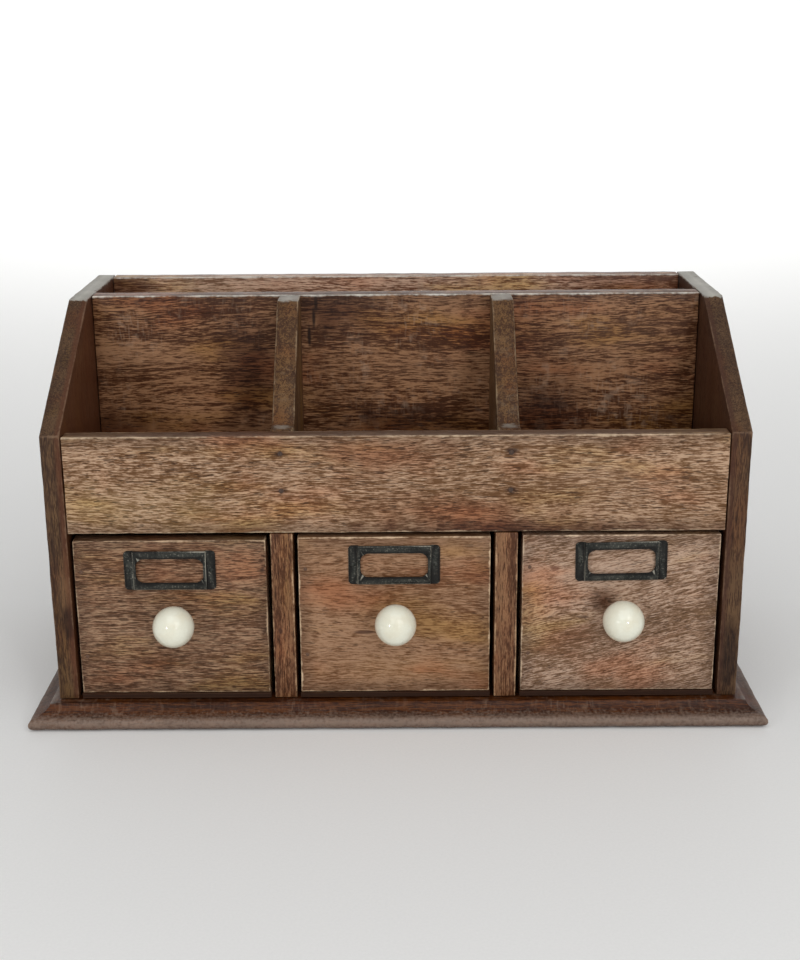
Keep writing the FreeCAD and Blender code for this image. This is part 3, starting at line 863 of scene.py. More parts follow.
def finish_piece(
    piece: bpy.types.Object, material: bpy.types.Material, body: str, nodes: Sequence[str] = (),
) -> bpy.types.Object:
    """Dress a piece, let it ride on its body and stand for its CAD nodes.

    Args:
        piece: the finished mesh.
        material: its finish.
        body: the CAD body that it moves with.
        nodes: the CAD nodes that it replaces.

    Returns:
        The piece.
    """
    piece.data.materials.clear()
    piece.data.materials.append(material)
    if nodes:
        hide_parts(*nodes)
    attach(piece, body)
    log.info("%s rides on %s: %d faces", piece.name, body, len(piece.data.polygons))
    return piece


def dress_node(name: str, material: bpy.types.Material) -> None:
    """Give a CAD node that stays its finish.

    Args:
        name: the node.
        material: its finish.
    """
    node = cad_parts[name]
    if not node.material_slots:
        node.data.materials.append(material)
    for slot in node.material_slots:
        slot.material = material
    log.info("%s keeps its own shape", name)


@dataclass
class Board:
    """A sawn and nailed board with eased, knocked edges.

    top lists where the upper edge changes height: (y, z) from the front to the back.
    joined names the faces that butt against another board, such as "-x", and don't wear.
    """

    name: str
    node: str
    body: str
    slot: str
    wood: Wood
    shift: float = 0.0
    cell: float = 0.006
    ease: float = 0.0009
    knocks: float = 0.0006
    top: Sequence[tuple[float, float]] = ()
    joined: Sequence[str] = ()
    spots: Sequence[Spot] = ()
    sharp: float = 25.0
    wave_mm: float = 38.0
    wave: float = 0.00022
    knock_mm: float = 7.0

    def worn_bounds(self, low: Vector, high: Vector) -> Bounds:
        """The block of the board, moved out past every joined face.

        Args:
            low: the board's lowest corner.
            high: its highest corner.

        Returns:
            The block that the wear follows.
        """
        low, high = low.copy(), high.copy()
        for face in self.joined:
            corner, away = (low, -1.0) if face[0] == "-" else (high, 1.0)
            corner["xyz".index(face[1])] += away
        return Bounds(low, high)

    def shape_top(self, piece: bpy.types.Object, ceiling: float) -> None:
        """Saw the block across at every change of the top and lower what is in front.

        Args:
            piece: the block.
            ceiling: how high it stands.
        """
        edit(piece)
        for y, _ in self.top[1:-1]:
            bpy.ops.mesh.select_all(action="SELECT")
            bpy.ops.mesh.bisect(plane_co=(0.0, y, 0.0), plane_no=(0.0, 1.0, 0.0))
        for y, z in self.top:
            pick(piece, "VERT", lambda co: abs(co.y - y) < TINY and co.z > ceiling - TINY)
            bpy.ops.transform.translate(value=(0.0, 0.0, z - ceiling))
        close()

    def divide(self, piece: bpy.types.Object) -> None:
        """Divide the block into even cells, so that its surface can be knocked about.

        Args:
            piece: the block.
        """
        edit(piece)
        stations = [y for y, _ in self.top] or [piece.bound_box[0][1], piece.bound_box[6][1]]
        rows: list[tuple[Choose, float]] = [
            (lambda ends: abs(ends[0].x - ends[1].x) > TINY, piece.dimensions.x),
            (lambda ends: max(abs(ends[0].x - ends[1].x), abs(ends[0].y - ends[1].y)) < TINY,
             piece.dimensions.z)]
        for start, end in zip(stations, stations[1:]):
            rows.append((
                lambda ends, start=start, end=end: abs(ends[0].y - ends[1].y) > TINY
                and start < (ends[0].y + ends[1].y) / 2 < end, end - start))
        for test, length in rows:
            cuts = round(length / self.cell) - 1
            if cuts > 0 and pick(piece, "EDGE", test):
                bpy.ops.mesh.subdivide(number_cuts=cuts)
        close()

    def wear_edges(self, piece: bpy.types.Object) -> None:
        """Ease the arrises, then knock and rub them unevenly.

        Args:
            piece: the divided block.
        """
        edit(piece)
        bpy.ops.mesh.edges_select_sharp(sharpness=math.radians(self.sharp))
        bpy.ops.mesh.bevel(offset=self.ease, segments=3, affect="EDGES", clamp_overlap=True)
        piece.vertex_groups.new(name="arris")
        bpy.ops.object.vertex_group_assign()
        close()
        dent(piece, self.wave_mm, self.wave)
        dent(piece, self.knock_mm, self.knocks, "arris")
        apply_all(piece)
        smooth(piece)

    def build(self) -> bpy.types.Object:
        """Shape, wear and dress the board.

        Returns:
            The finished piece.
        """
        low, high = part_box(self.node)
        piece = block(self.name, low, high)
        bounds = self.worn_bounds(low, high)
        if self.top:
            self.shape_top(piece, high.z)
            (y0, z0), (y1, z1) = self.top[-3], self.top[-2]
            way = Vector((0.0, z0 - z1, y1 - y0)).normalized()
            bounds = replace(bounds, slope_way=tuple(way), slope_reach=way.dot(Vector((0.0, y0, z0))))
        self.divide(piece)
        self.wear_edges(piece)
        material = self.wood.material(self.name + "_wood", bounds, self.shift, self.spots)
        return finish_piece(piece, material, self.body, [self.node])


@dataclass
class MouldedBase:
    """The base board, with a cove and a bead along its front and both ends."""

    wood: Wood
    node: str = "base_board"
    lip: float = 0.0045
    reach: float = 0.016
    bead: float = 0.004
    cove: float = 0.009
    steps: int = 8
    cell: float = 0.005
    wave_mm: float = 40.0
    wave: float = 0.0002
    knock_mm: float = 9.0
    knocks: float = 0.0007
    shift: float = 0.41
    # chalk is the pale tone of the bead: rubbed wear together with painted sheen.
    chalk: Tone = (150, 130, 116)
    # dust is the pale tone of the painted sheen on the flat top at both ends.
    dust: Tone = (196, 188, 178)

    def rings(self, thick: float) -> list[tuple[float, float]]:
        """How far out the edge stands from the carcass at each height, from the desk up.

        Args:
            thick: how thick the board is.

        Returns:
            How far out, and how high, at each step.
        """
        quarter = math.pi / 2
        bead = [(self.reach - self.bead + self.bead * math.cos(turn), self.bead + self.bead * math.sin(turn))
                for turn in (quarter * (2 * step / self.steps - 1) for step in range(self.steps + 1))]
        start, end = Vector((self.reach - self.bead, 2 * self.bead)), Vector((self.lip, thick))
        half = (end - start) / 2
        rise = math.sqrt(self.cove ** 2 - half.length ** 2)
        centre = start + half + Vector((-half.y, half.x)).normalized() * -rise
        first = math.atan2(start.y - centre.y, start.x - centre.x)
        last = math.atan2(end.y - centre.y, end.x - centre.x)
        if abs(last - first) > math.pi:
            last += math.tau if last < first else -math.tau
        cove = [centre + self.cove * Vector((math.cos(turn), math.sin(turn)))
                for turn in (first + (last - first) * step / self.steps for step in range(1, self.steps + 1))]
        return bead + [(spot.x, spot.y) for spot in cove]

    def build(self) -> bpy.types.Object:
        """Raise the board ring by ring from its underside, divide it and knock its edges.

        Returns:
            The finished board.
        """
        low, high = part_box(self.node)
        body = Vector((high.x - self.reach, high.y, 0.0))
        front = low.y + self.reach
        rings = self.rings(high.z)
        out, _ = rings[0]
        deep = body.y - front + out
        deselect()
        bpy.ops.mesh.primitive_plane_add(size=1.0, location=(0.0, body.y - deep / 2, 0.0))
        piece = bpy.context.active_object
        piece.scale = (2 * (body.x + out), deep, 1.0)
        settle(piece, "moulded_base")
        edit(piece, "FACE")
        bpy.ops.mesh.select_all(action="SELECT")
        for (was, below), (now, height) in zip(rings, rings[1:]):
            bpy.ops.mesh.extrude_region_move(TRANSFORM_OT_translate={"value": (0.0, 0.0, height - below)})
            wide = (body.x + now) / (body.x + was)
            long = (body.y - front + now) / (body.y - front + was)
            bpy.ops.transform.resize(value=(wide, long, 1.0), center_override=(0.0, body.y, height))
        bpy.ops.mesh.select_all(action="SELECT")
        bpy.ops.mesh.normals_make_consistent(inside=False)
        for axis, (start, end) in enumerate(((low.x, high.x), (low.y, high.y))):
            count = round((end - start) / self.cell)
            for index in range(1, count):
                spot = [0.0, 0.0, 0.0]
                spot[axis] = start + (end - start) * index / count
                way = [float(axis == 0), float(axis == 1), 0.0]
                bpy.ops.mesh.select_all(action="SELECT")
                bpy.ops.mesh.bisect(plane_co=spot, plane_no=way)
        close()
        edit(piece)
        pick(piece, "VERT", lambda co: co.z < high.z - MM / 2 and (
            abs(co.x) > body.x + self.lip or co.y < front - self.lip))
        piece.vertex_groups.new(name="arris")
        bpy.ops.object.vertex_group_assign()
        close()
        dent(piece, self.wave_mm, self.wave)
        dent(piece, self.knock_mm, self.knocks, "arris")
        apply_all(piece)
        smooth(piece, 50.0)
        bounds = Bounds(low, high)
        spots = self.sheen_spots(low, high)
        material = self.wood.material("moulded_base_wood", bounds, self.shift, spots)
        return finish_piece(piece, material, "carcass", [self.node])

    def sheen_spots(self, low: Vector, high: Vector) -> list[Spot]:
        """The bead, painted pale along the front and both ends: rubbed wear together with painted sheen.

        Args:
            low: the board's lowest corner.
            high: its highest corner.

        Returns:
            The pale bead places, rubbed wear together with painted sheen, and painted sheen on the flat top
            at both ends.
        """
        bead = self.bead + MM
        # Painted sheen together with rubbed wear: the bead is painted pale along the front and, more faintly,
        # on both ends.
        front = Spot((0.0, low.y, bead), (0.9, 0.011, 0.0085), self.chalk,
                     strength=0.75, ragged=1.3, soft=1.0, fine=620.0)
        ends = [Spot((x, 0.0, bead), (0.009, 0.6, 0.0065), self.chalk,
                     strength=0.4, ragged=1.3, soft=1.0, fine=620.0) for x in (low.x, high.x)]
        # Painted sheen: the flat top at both ends is painted pale, standing for its bright reflection.
        dust = [Spot((x, 0.0, high.z), (0.0165, 0.4, 0.0016), self.dust, ragged=0.5)
                for x in (low.x, high.x)]
        return [front, *ends, *dust]


def nail_centres(
    nails: str, axis: int, level: float, keep: Choose = lambda spot: True,
) -> list[Vector]:
    """Find where the nails of a CAD node pierce a face.

    Args:
        nails: the node, a group of separate nails.
        axis: the axis that they run along, 0 to 2.
        level: where on that axis the face lies.
        keep: told the middle of a nail, says whether it counts.

    Returns:
        The middle of each hole, on the face.
    """
    found: list[list[Vector]] = []
    others = [index for index in range(3) if index != axis]
    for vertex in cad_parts[nails].data.vertices:
        for cluster in found:
            if all(abs(cluster[0][index] - vertex.co[index]) < NAIL_REACH for index in others):
                cluster.append(vertex.co.copy())
                break
        else:
            found.append([vertex.co.copy()])
    centres = []
    for cluster in found:
        spot = sum(cluster, Vector()) / len(cluster)
        if keep(spot):
            spot[axis] = level
            centres.append(spot)
    return centres


@dataclass
class NailFillers:
    """The wax plugs over the punched nails of one board face."""

    name: str
    nails: str
    body: str
    slot: str
    axis: int
    side: int
    level: float
    radius: float = 0.0014
    wax: Filler = Filler()
    keep: Choose = lambda spot: True
    thick: float = 0.0008
    rim: float = 0.35
    crown: float = 0.00012
    crumple: float = 0.00008
    turn: float = 1.3

    def plug(self) -> bpy.types.Object:
        """One crowned plug at the origin, facing the right way.

        Returns:
            The plug.
        """
        turn = {0: (0.0, math.pi / 2, 0.0), 1: (math.pi / 2, 0.0, 0.0), 2: (0.0, 0.0, 0.0)}[self.axis]
        deselect()
        bpy.ops.mesh.primitive_cylinder_add(
            vertices=14, radius=self.radius, depth=self.thick, location=(0.0, 0.0, 0.0), rotation=turn)
        piece = settle(bpy.context.active_object, self.name)
        way = [0.0, 0.0, 0.0]
        way[self.axis] = float(self.side)
        edit(piece, "FACE")
        pick(piece, "FACE", lambda face: face.normal.dot(Vector(way)) > 0.9)
        bpy.ops.mesh.inset(thickness=self.radius * self.rim)
        bpy.ops.transform.translate(value=[self.crown * part for part in way])
        bpy.ops.mesh.select_all(action="SELECT")
        bpy.ops.transform.vertex_random(offset=self.crumple, seed=11)
        close()
        smooth(piece, 60.0)
        return piece

    def build(self) -> bpy.types.Object | None:
        """Set a copy of the plug over every nail and join them.

        Returns:
            The joined plugs, or nothing if no nail shows.
        """
        spots = nail_centres(self.nails, self.axis, self.level, self.keep)
        if not spots:
            return None
        first = self.plug()
        plugs = []
        for index, spot in enumerate(spots):
            plug = first.copy()
            plug.data = first.data.copy()
            bpy.context.scene.collection.objects.link(plug)
            plug.location = spot
            turn = [0.0, 0.0, 0.0]
            turn[self.axis] = index * self.turn
            plug.rotation_euler = turn
            plugs.append(plug)
        bpy.data.objects.remove(first)
        deselect()
        for plug in plugs:
            plug.select_set(True)
        bpy.context.view_layer.objects.active = plugs[0]
        if len(plugs) > 1:
            bpy.ops.object.join()
        piece = settle(plugs[0], self.name)
        return finish_piece(piece, self.wax.material(self.name + "_wax"), self.body)


@dataclass
class Knob:
    """A ball knob on a short neck, turned and glazed."""

    drawer: str
    radius: float = 0.0119
    neck: float = 0.0065
    foot: float = 0.0063
    wave_mm: float = 14.0
    wave: float = 0.00016

    def build(self, face: float) -> bpy.types.Object:
        """Cut the back off a ball and draw the neck out to the drawer front.

        Args:
            face: the plane of the drawer front.

        Returns:
            The finished knob.
        """
        low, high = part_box(f"{self.drawer}_knob")
        centre = Vector(((low.x + high.x) / 2, low.y + self.radius, (low.z + high.z) / 2))
        deselect()
        bpy.ops.mesh.primitive_uv_sphere_add(
            segments=64, ring_count=40, radius=self.radius, location=centre, rotation=(math.pi / 2, 0.0, 0.0))
        piece = settle(bpy.context.active_object, f"{self.drawer}_ball_knob")
        edit(piece, "FACE")
        bpy.ops.mesh.select_all(action="SELECT")
        start = math.sqrt(self.radius ** 2 - self.neck ** 2)
        bpy.ops.mesh.bisect(plane_co=centre + Vector((0.0, start, 0.0)), plane_no=(0.0, 1.0, 0.0),
                            use_fill=True, clear_outer=True)
        pick(piece, "FACE", lambda part: part.normal.y > 0.99 and part.center.y > centre.y)
        end = face - centre.y - start
        at = centre + Vector((0.0, start, 0.0))
        stages = ((0.12, 0.92), (0.5, 0.98), (0.2, 1.0), (0.13, self.foot / self.neck), (0.05, 1.0))
        for share, flare in stages:
            bpy.ops.mesh.extrude_region_move(TRANSFORM_OT_translate={"value": (0.0, end * share, 0.0)})
            at = at + Vector((0.0, end * share, 0.0))
            bpy.ops.transform.resize(value=(flare, 1.0, flare), center_override=at)
        close()
        dent(piece, self.wave_mm, self.wave)
        apply_all(piece)
        smooth(piece, 50.0)
        material = Glaze().material(f"{self.drawer}_glaze")
        return finish_piece(piece, material, f"{self.drawer}_drawer", [f"{self.drawer}_knob"])


@dataclass
class CardFrame:
    """A pressed metal card frame: a raised rounded rim between two flat ears."""

    drawer: str
    ear: float = 0.0049
    sheet: float = 0.0008
    window: tuple[float, float] = (0.0384, 0.0144)
    window_round: float = 0.0045
    ear_round: float = 0.0024
    tilt: float = 0.0
    rim_round: float = 0.0009
    ease: float = 0.0005
    wave_mm: float = 5.0
    wave: float = 0.00022

    def round_upright(self, piece: bpy.types.Object, radius: float, steps: int) -> None:
        """Round the four edges of a block that run from front to back.

        Args:
            piece: the block.
            radius: how round.
            steps: flats in each round.
        """
        edit(piece)
        pick(piece, "EDGE", lambda ends: abs(ends[0].y - ends[1].y) > TINY)
        bpy.ops.mesh.bevel(offset=radius, segments=steps, affect="EDGES")
        close()

    def combine(self, piece: bpy.types.Object, other: bpy.types.Object, operation: str) -> None:
        """Join a block to the frame, or cut it away.

        Args:
            piece: the frame.
            other: the block, used up.
            operation: UNION or DIFFERENCE.
        """
        modifier = piece.modifiers.new(operation, "BOOLEAN")
        modifier.operation = operation
        modifier.object = other
        modifier.solver = "EXACT"
        apply_all(piece)
        bpy.data.objects.remove(other)

    def build(self, metal: Metal) -> bpy.types.Object:
        """Press the frame: ears, raised rim, window and card pocket, then ease every edge.

        Args:
            metal: its finish.

        Returns:
            The finished frame.
        """
        node = f"{self.drawer}_card_frame"
        low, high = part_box(node)
        middle = (low + high) / 2
        wall = high.y
        name = f"{self.drawer}_label_frame"
        piece = block(name, Vector((low.x, wall - self.sheet, low.z)), high)
        self.round_upright(piece, self.ear_round, 5)
        raised = block("raised", Vector((low.x + self.ear, low.y, low.z)),
                       Vector((high.x - self.ear, wall, high.z)))
        edit(raised)
        front = low.y + TINY
        pick(raised, "EDGE", lambda ends: max(ends[0].y, ends[1].y) < front)
        bpy.ops.mesh.bevel(offset=self.rim_round, segments=4, affect="EDGES")
        close()
        self.combine(piece, raised, "UNION")
        across, up = self.window[0] / 2, self.window[1] / 2
        hole = block("hole", Vector((middle.x - across, low.y - MM, middle.z - up)),
                     Vector((middle.x + across, wall + MM, middle.z + up)))
        self.round_upright(hole, self.window_round, 7)
        self.combine(piece, hole, "DIFFERENCE")
        inset = self.ear + self.sheet
        pocket = block("pocket", Vector((low.x + inset, low.y + self.sheet, low.z + self.sheet)),
                       Vector((high.x - inset, wall + MM, high.z + MM)))
        self.combine(piece, pocket, "DIFFERENCE")
        ease = piece.modifiers.new("eased", "BEVEL")
        ease.width = self.ease
        ease.segments = 3
        ease.limit_method = "ANGLE"
        ease.angle_limit = math.radians(35)
        apply_all(piece)
        edit(piece, "FACE")
        bpy.ops.mesh.select_all(action="SELECT")
        bpy.ops.mesh.quads_convert_to_tris()
        bpy.ops.mesh.subdivide(number_cuts=2)
        if self.tilt:
            bpy.ops.transform.rotate(value=self.tilt, orient_axis="Y", center_override=middle)
        close()
        dent(piece, self.wave_mm, self.wave)
        apply_all(piece)
        smooth(piece, 45.0)
        material = metal.material(name + "_metal")
        return finish_piece(piece, material, f"{self.drawer}_drawer", [node])


# ------------------------------------------------------------------ the organizer's finishes
FRONT_WOOD = Wood(
    (187, 155, 127), (148, 115, 88), (102, 69, 40), bands=26.0, band_contrast=1.9, warp=0.016, fleck=1.0,
    fibre=2.9, pore_share=0.4, worn=(212, 188, 158), wear=0.75)
POST_WOOD = Wood(
    (152, 110, 77), (122, 81, 55), (86, 50, 26), along=Grain.ALONG_Z, bands=60.0, band_contrast=3.0,
    warp=0.012, fleck=1.1, streak=1.8, pore_share=0.4, worn=(196, 160, 124), wear=0.95, wear_width=0.0014)
SIDE_WOOD = Wood(
    (107, 80, 54), (84, 59, 39), (58, 39, 25), along=Grain.ALONG_Z, bands=55.0, band_contrast=1.5,
    fibre=2.8, streak=1.1, pore_share=0.4, worn=(140, 112, 88), wear=0.45, rough=0.52, coat=0.04)
DIVIDER_WOOD = Wood(
    (118, 86, 53), (94, 65, 39), (71, 45, 27), along=Grain.ALONG_Z, band_contrast=2.6, fleck=0.6,
    fibre=3.0, streak=2.4, pore_depth=0.5, worn=(166, 142, 112), wear=0.6, rubbed=0.42,
    rub_tone=(150, 132, 110), rough=0.58, coat=0.0)
INNER_WOOD = Wood(
    (160, 118, 85), (117, 79, 53), (73, 40, 19), bands=50.0, band_contrast=2.0, warp=0.012, fibre=3.4,
    streak=1.7, worn=(226, 220, 208), wear=0.95, wear_width=0.0016, ragged=0.5, rubbed=0.42,
    rub_tone=(186, 158, 134))
BACK_WOOD = replace(INNER_WOOD, light=(226, 187, 160), middle=(173, 133, 107), dark=(122, 80, 59), rubbed=0.5)
DRAWER_WOOD = {
    "left": Wood(
        (163, 131, 103), (130, 96, 73), (90, 60, 38), bands=70.0, band_contrast=0.7, warp=0.005,
        pore_share=0.46, pore_depth=0.7, worn=(206, 178, 146)),
    "middle": Wood(
        (164, 127, 98), (134, 98, 70), (101, 65, 38), bands=34.0, warp=0.02, pore_depth=0.65,
        worn=(224, 196, 162)),
    "right": Wood(
        (188, 159, 137), (153, 122, 100), (111, 82, 58), bands=26.0, band_contrast=1.8, warp=0.02,
        fleck=1.3, pore_share=0.4, pore_depth=0.5, pore_long=1.5, worn=(224, 198, 168), lean=0.2),
}
BASE_WOOD = Wood(
    (88, 47, 14), (65, 31, 9), (47, 19, 3), bands=60.0, band_contrast=1.8, fleck=1.2, fibre=3.0,
    streak=1.8, worn=(120, 96, 78), wear=0.3, grimy_and_shaded=0.2, rubbed=0.45, rub_tone=(150, 124, 104),
    rough=0.45, coat=0.04)
BOX_WOOD = Wood(
    (190, 160, 124), (160, 128, 96), (124, 94, 68), pore_share=0.32, wear=0.3, rubbed=0.3,
    rub_tone=(206, 184, 156), rough=0.6, coat=0.0)
AGED_STEEL = Metal(
    (60, 61, 56), (28, 31, 29), (158, 154, 142), metallic=0.55, rough=0.42, scuffed=0.6, clouded=0.8,
    bare_and_painted_light=1.0)
PIN_STEEL = replace(AGED_STEEL, scuffed=0.1, bare_and_painted_light=0.0)
NAIL_STEEL = Metal((122, 118, 112), (70, 52, 42), (190, 188, 184), metallic=0.9)
ZINC = Metal((176, 178, 180), (138, 140, 142), (214, 216, 218), rough=0.32, scuffed=0.5, clouded=0.5)
BRASS = Metal((196, 160, 92), (150, 112, 60), (232, 204, 140), rough=0.3, scuffed=0.5)
DRAWER_WAX = Filler((92, 64, 46), (120, 90, 66))
GLUE = (176, 168, 156)
# Pale tone of a patch on the crests of the dividers.
CREST_PALE = (188, 184, 174)
# Pale tone painted on the flat tops of the ends as painted sheen.
TOP_SHEEN = (204, 202, 192)
# Dark tones of the inner faces of the ends: stain together with painted shade, the right one darker as
# painted shade.
INNER_STAINS_AND_SHADE = {"left": (104, 58, 34), "right": (76, 42, 28)}
SPLIT = (34, 19, 12)
# Dark patches on the panel behind the compartments: stain, and painted shadow where they lie beside the sides
# and dividers.
DARK_STAIN_AND_SHADOW = (148, 122, 108)
FADED = (52, 40, 30)
FOOT_STAIN = (156, 116, 92)


def middle_x(node: str) -> float:
    """How far along X the middle of a CAD node lies."""
    low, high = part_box(node)
    return (low.x + high.x) / 2


@dataclass
class Carcass:
    """The nailed boards around the drawers."""

    brow: float = 0.174
    slope_run: float = 0.098
    ledge_run: float = 0.015
    crest_run: float = 0.021
    wax_depth: float = 0.0004
    foot_wax_depth: float = 0.0006
    boards: list[Board] = field(default_factory=list)

    def side_top(self, node: str) -> list[tuple[float, float]]:
        """The brow, slope and flat top of a side panel."""
        low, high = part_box(node)
        return [(low.y, self.brow), (low.y + self.slope_run, high.z), (high.y, high.z)]

    def divider_top(self, node: str, ledge: float) -> list[tuple[float, float]]:
        """The ledge, slope and crest of an upper divider."""
        low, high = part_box(node)
        return [(low.y, ledge), (low.y + self.ledge_run, ledge), (high.y - self.crest_run, high.z),
                (high.y, high.z)]

    def end_panel(self, side: str, shift: float) -> Board:
        """One end of the organizer, with stain and painted shade on its inner face and painted sheen along
        its top.

        Args:
            side: left or right.
            shift: how far into the timber it was cut.

        Returns:
            The board.
        """
        node = f"{side}_side"
        low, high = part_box(node)
        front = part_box("front_panel")[0].y
        middle = middle_x(node)
        inner = high.x if side == "left" else low.x
        # Stain together with painted shade on the inner face.
        stain = Spot((inner, 0.02, 0.12), (0.005, 0.3, 0.3), INNER_STAINS_AND_SHADE[side],
                     strength=0.65, ragged=0.1, soft=0.5)
        # Painted sheen: a pale band along the flat top, standing for its bright reflection.
        dust = Spot((middle, 0.06, high.z), (0.03, 0.3, 0.0016), TOP_SHEEN,
                    strength=0.8, ragged=2.4, soft=0.5, fine=230.0)
        edge_marks = {
            "left": [Spot((middle + 0.002, front, 0.082), (0.007, 0.004, 0.026), (104, 82, 58),
                          strength=0.5, ragged=1.2, soft=0.9, lay=Lay.BLEACH),
                     Spot((middle + 0.003, front, 0.062), (0.005, 0.004, 0.014), (120, 92, 78),
                          strength=0.8, lay=Lay.STAIN)],
            "right": [Spot((middle, front, 0.04), (0.006, 0.004, 0.03), (110, 84, 70),
                           strength=0.7, lay=Lay.STAIN)]}
        return Board(f"{side}_end_panel", node, "carcass", "side_wood", SIDE_WOOD, shift,
                     top=self.side_top(node), joined=["-z"], spots=[stain, dust, *edge_marks[side]])

    def post(self, side: str, shift: float) -> Board:
        """The post between two drawers.

        Args:
            side: left or right.
            shift: how far into the timber it was cut.

        Returns:
            The board.
        """
        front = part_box("front_panel")[0].y
        knot = Spot((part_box("left_partition")[0].x + 0.0046, front, 0.0562), (0.0018, 0.01, 0.0024),
                    (64, 38, 28), strength=0.7)
        return Board(f"{side}_post", f"{side}_partition", "carcass", "partition_wood", POST_WOOD, shift,
                     joined=["-z", "+z", "+y"], spots=[knot])

    def divider(self, side: str, shift: float) -> Board:
        """The divider between two compartments, with a glue smear on its ledge and a pale patch on its crest.

        Args:
            side: left or right.
            shift: how far into the timber it was cut.

        Returns:
            The board.
        """
        node = f"{side}_divider"
        low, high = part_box(node)
        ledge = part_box("front_panel")[1].z
        smear = Spot((middle_x(node), low.y + 0.008, ledge), (0.0065, 0.006, 0.003), GLUE,
                     strength=0.5, ragged=1.8, fine=320.0)
        # A pale patch on the crest.
        dust = Spot((middle_x(node), high.y - 0.01, high.z), (0.02, 0.02, 0.0014), CREST_PALE,
                    strength=0.7, ragged=1.6, fine=260.0)
        return Board(f"{side}_divider_board", node, "carcass", "divider_wood", DIVIDER_WOOD, shift,
                     top=self.divider_top(node, ledge), joined=["-z", "-y", "+y"], spots=[smear, dust])

    def front_panel(self) -> Board:
        """The broad panel, darker around its nails and along its foot, with painted shade on its top face.

        Returns:
            The board.
        """
        low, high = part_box("front_panel")
        front, foot = low.y, low.z
        halos = [Spot(tuple(hole), (0.0055, 0.01, 0.0026), (120, 84, 64),
                      strength=0.85, ragged=1.0, soft=0.9, lay=Lay.STAIN)
                 for hole in nail_centres("front_panel_nails", 1, front)]
        # Painted shade: the top face of the panel is painted darker.
        top = Spot((0.0, front + 0.0065, high.z), (0.4, 0.0066, 0.0015), (78, 52, 38),
                   strength=0.8, ragged=0.4)
        stains = [
            Spot((x, front, z), (wide, 0.02, tall), tone, strength, ragged=1.2, soft=0.95, lay=lay)
            for x, z, wide, tall, tone, strength, lay in (
                (-0.01, 0.162, 0.07, 0.014, (206, 168, 142), 0.8, Lay.STAIN),
                (0.03, 0.128, 0.09, 0.016, (206, 178, 156), 0.8, Lay.STAIN),
                (0.07, foot, 0.15, 0.011, FOOT_STAIN, 0.9, Lay.STAIN),
                (-0.09, foot, 0.04, 0.007, FOOT_STAIN, 0.8, Lay.STAIN))]
        faded = [
            Spot((0.128, front, 0.146), (0.06, 0.02, 0.018), (84, 66, 54),
                 strength=0.5, soft=0.9, lay=Lay.BLEACH),
            Spot((-0.15, front, foot + 0.016), (0.085, 0.02, 0.022), (74, 66, 38),
                 ragged=1.2, soft=0.95, lay=Lay.BLEACH)]
        nick = Spot((0.065, front, 0.1645), (0.0052, 0.01, 0.0018), (58, 38, 28),
                    strength=0.8, ragged=0.5)
        return Board("broad_front_panel", "front_panel", "carcass", "panel_wood", FRONT_WOOD, 6.2,
                     cell=0.005, joined=["-x", "+x"], spots=[*halos, top, *stains, *faded, nick])

    def upright_panel(self) -> Board:
        """The panel behind the compartments, with dark patches of stain and painted shadow beside the sides
        and dividers, faded places and a split at its top.

        Returns:
            The board.
        """
        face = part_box("middle_panel")[0].y
        stains = [
            Spot((x, face, z), (wide, 0.006, tall), tone, strength=0.85, ragged=1.3, soft=0.95, lay=lay)
            for tone, lay, places in (
                # Painted shadow and stain: the tall narrow patches beside the sides and dividers stand for
                # their shadows.
                (DARK_STAIN_AND_SHADOW, Lay.STAIN, (
                    (-0.094, 0.188, 0.026, 0.06), (-0.18, 0.15, 0.05, 0.022), (-0.196, 0.2, 0.014, 0.05),
                    (-0.04, 0.222, 0.045, 0.02), (0.004, 0.152, 0.065, 0.018),
                    (0.094, 0.158, 0.034, 0.034), (0.2, 0.19, 0.014, 0.07))),
                (FADED, Lay.BLEACH, (
                    (-0.152, 0.196, 0.05, 0.014), (0.01, 0.186, 0.05, 0.012),
                    (0.137, 0.206, 0.055, 0.02))))
            for x, z, wide, tall in places]
        split = [
            Spot((x, face, z), (0.0016, 0.004, tall), SPLIT, strength=0.9, ragged=0.35, soft=0.7)
            for x, z, tall in ((-0.049, 0.229, 0.008), (-0.0505, 0.219, 0.009), (-0.0535, 0.208, 0.01))]
        return Board("middle_upright_panel", "middle_panel", "carcass", "inner_wood", INNER_WOOD, 8.8,
                     joined=["-x", "+x", "-z"], spots=[*stains, *split])

    def rear_panel(self) -> Board:
        """The back, with a pale place and two stains inside the letter slot, and darker outside.

        Returns:
            The board.
        """
        face, back = (corner.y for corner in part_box("back_panel"))
        spots = [
            Spot((-0.12, face, 0.23), (0.045, 0.006, 0.02), (84, 72, 50),
                 strength=0.7, ragged=1.4, soft=0.8, lay=Lay.BLEACH),
            Spot((-0.185, face, 0.225), (0.035, 0.006, 0.03), (120, 84, 66),
                 strength=0.8, ragged=0.8, lay=Lay.STAIN),
            Spot((0.16, face, 0.225), (0.07, 0.006, 0.03), (190, 160, 140),
                 strength=0.8, ragged=0.8, soft=0.9, lay=Lay.STAIN),
            Spot((0.0, back, 0.12), (0.5, 0.006, 0.5), (150, 134, 126),
                 strength=1.0, ragged=0.1, lay=Lay.STAIN)]
        return Board("rear_panel", "back_panel", "carcass", "inner_wood", BACK_WOOD, 9.6, cell=0.008,
                     joined=["-x", "+x", "-z"], spots=spots)

    def plan(self) -> None:
        """List the boards with their finishes."""
        for index, side in enumerate(("left", "right")):
            self.boards += [self.end_panel(side, 0.31 + index), self.post(side, 2.3 + index),
                            self.divider(side, 4.7 + index)]
        shelf = Board("shelf_board", "shelf", "carcass", "inner_wood", INNER_WOOD, 7.9, cell=0.012,
                      joined=["-x", "+x", "-y", "+y"])
        self.boards += [self.front_panel(), shelf, self.upright_panel(), self.rear_panel()]

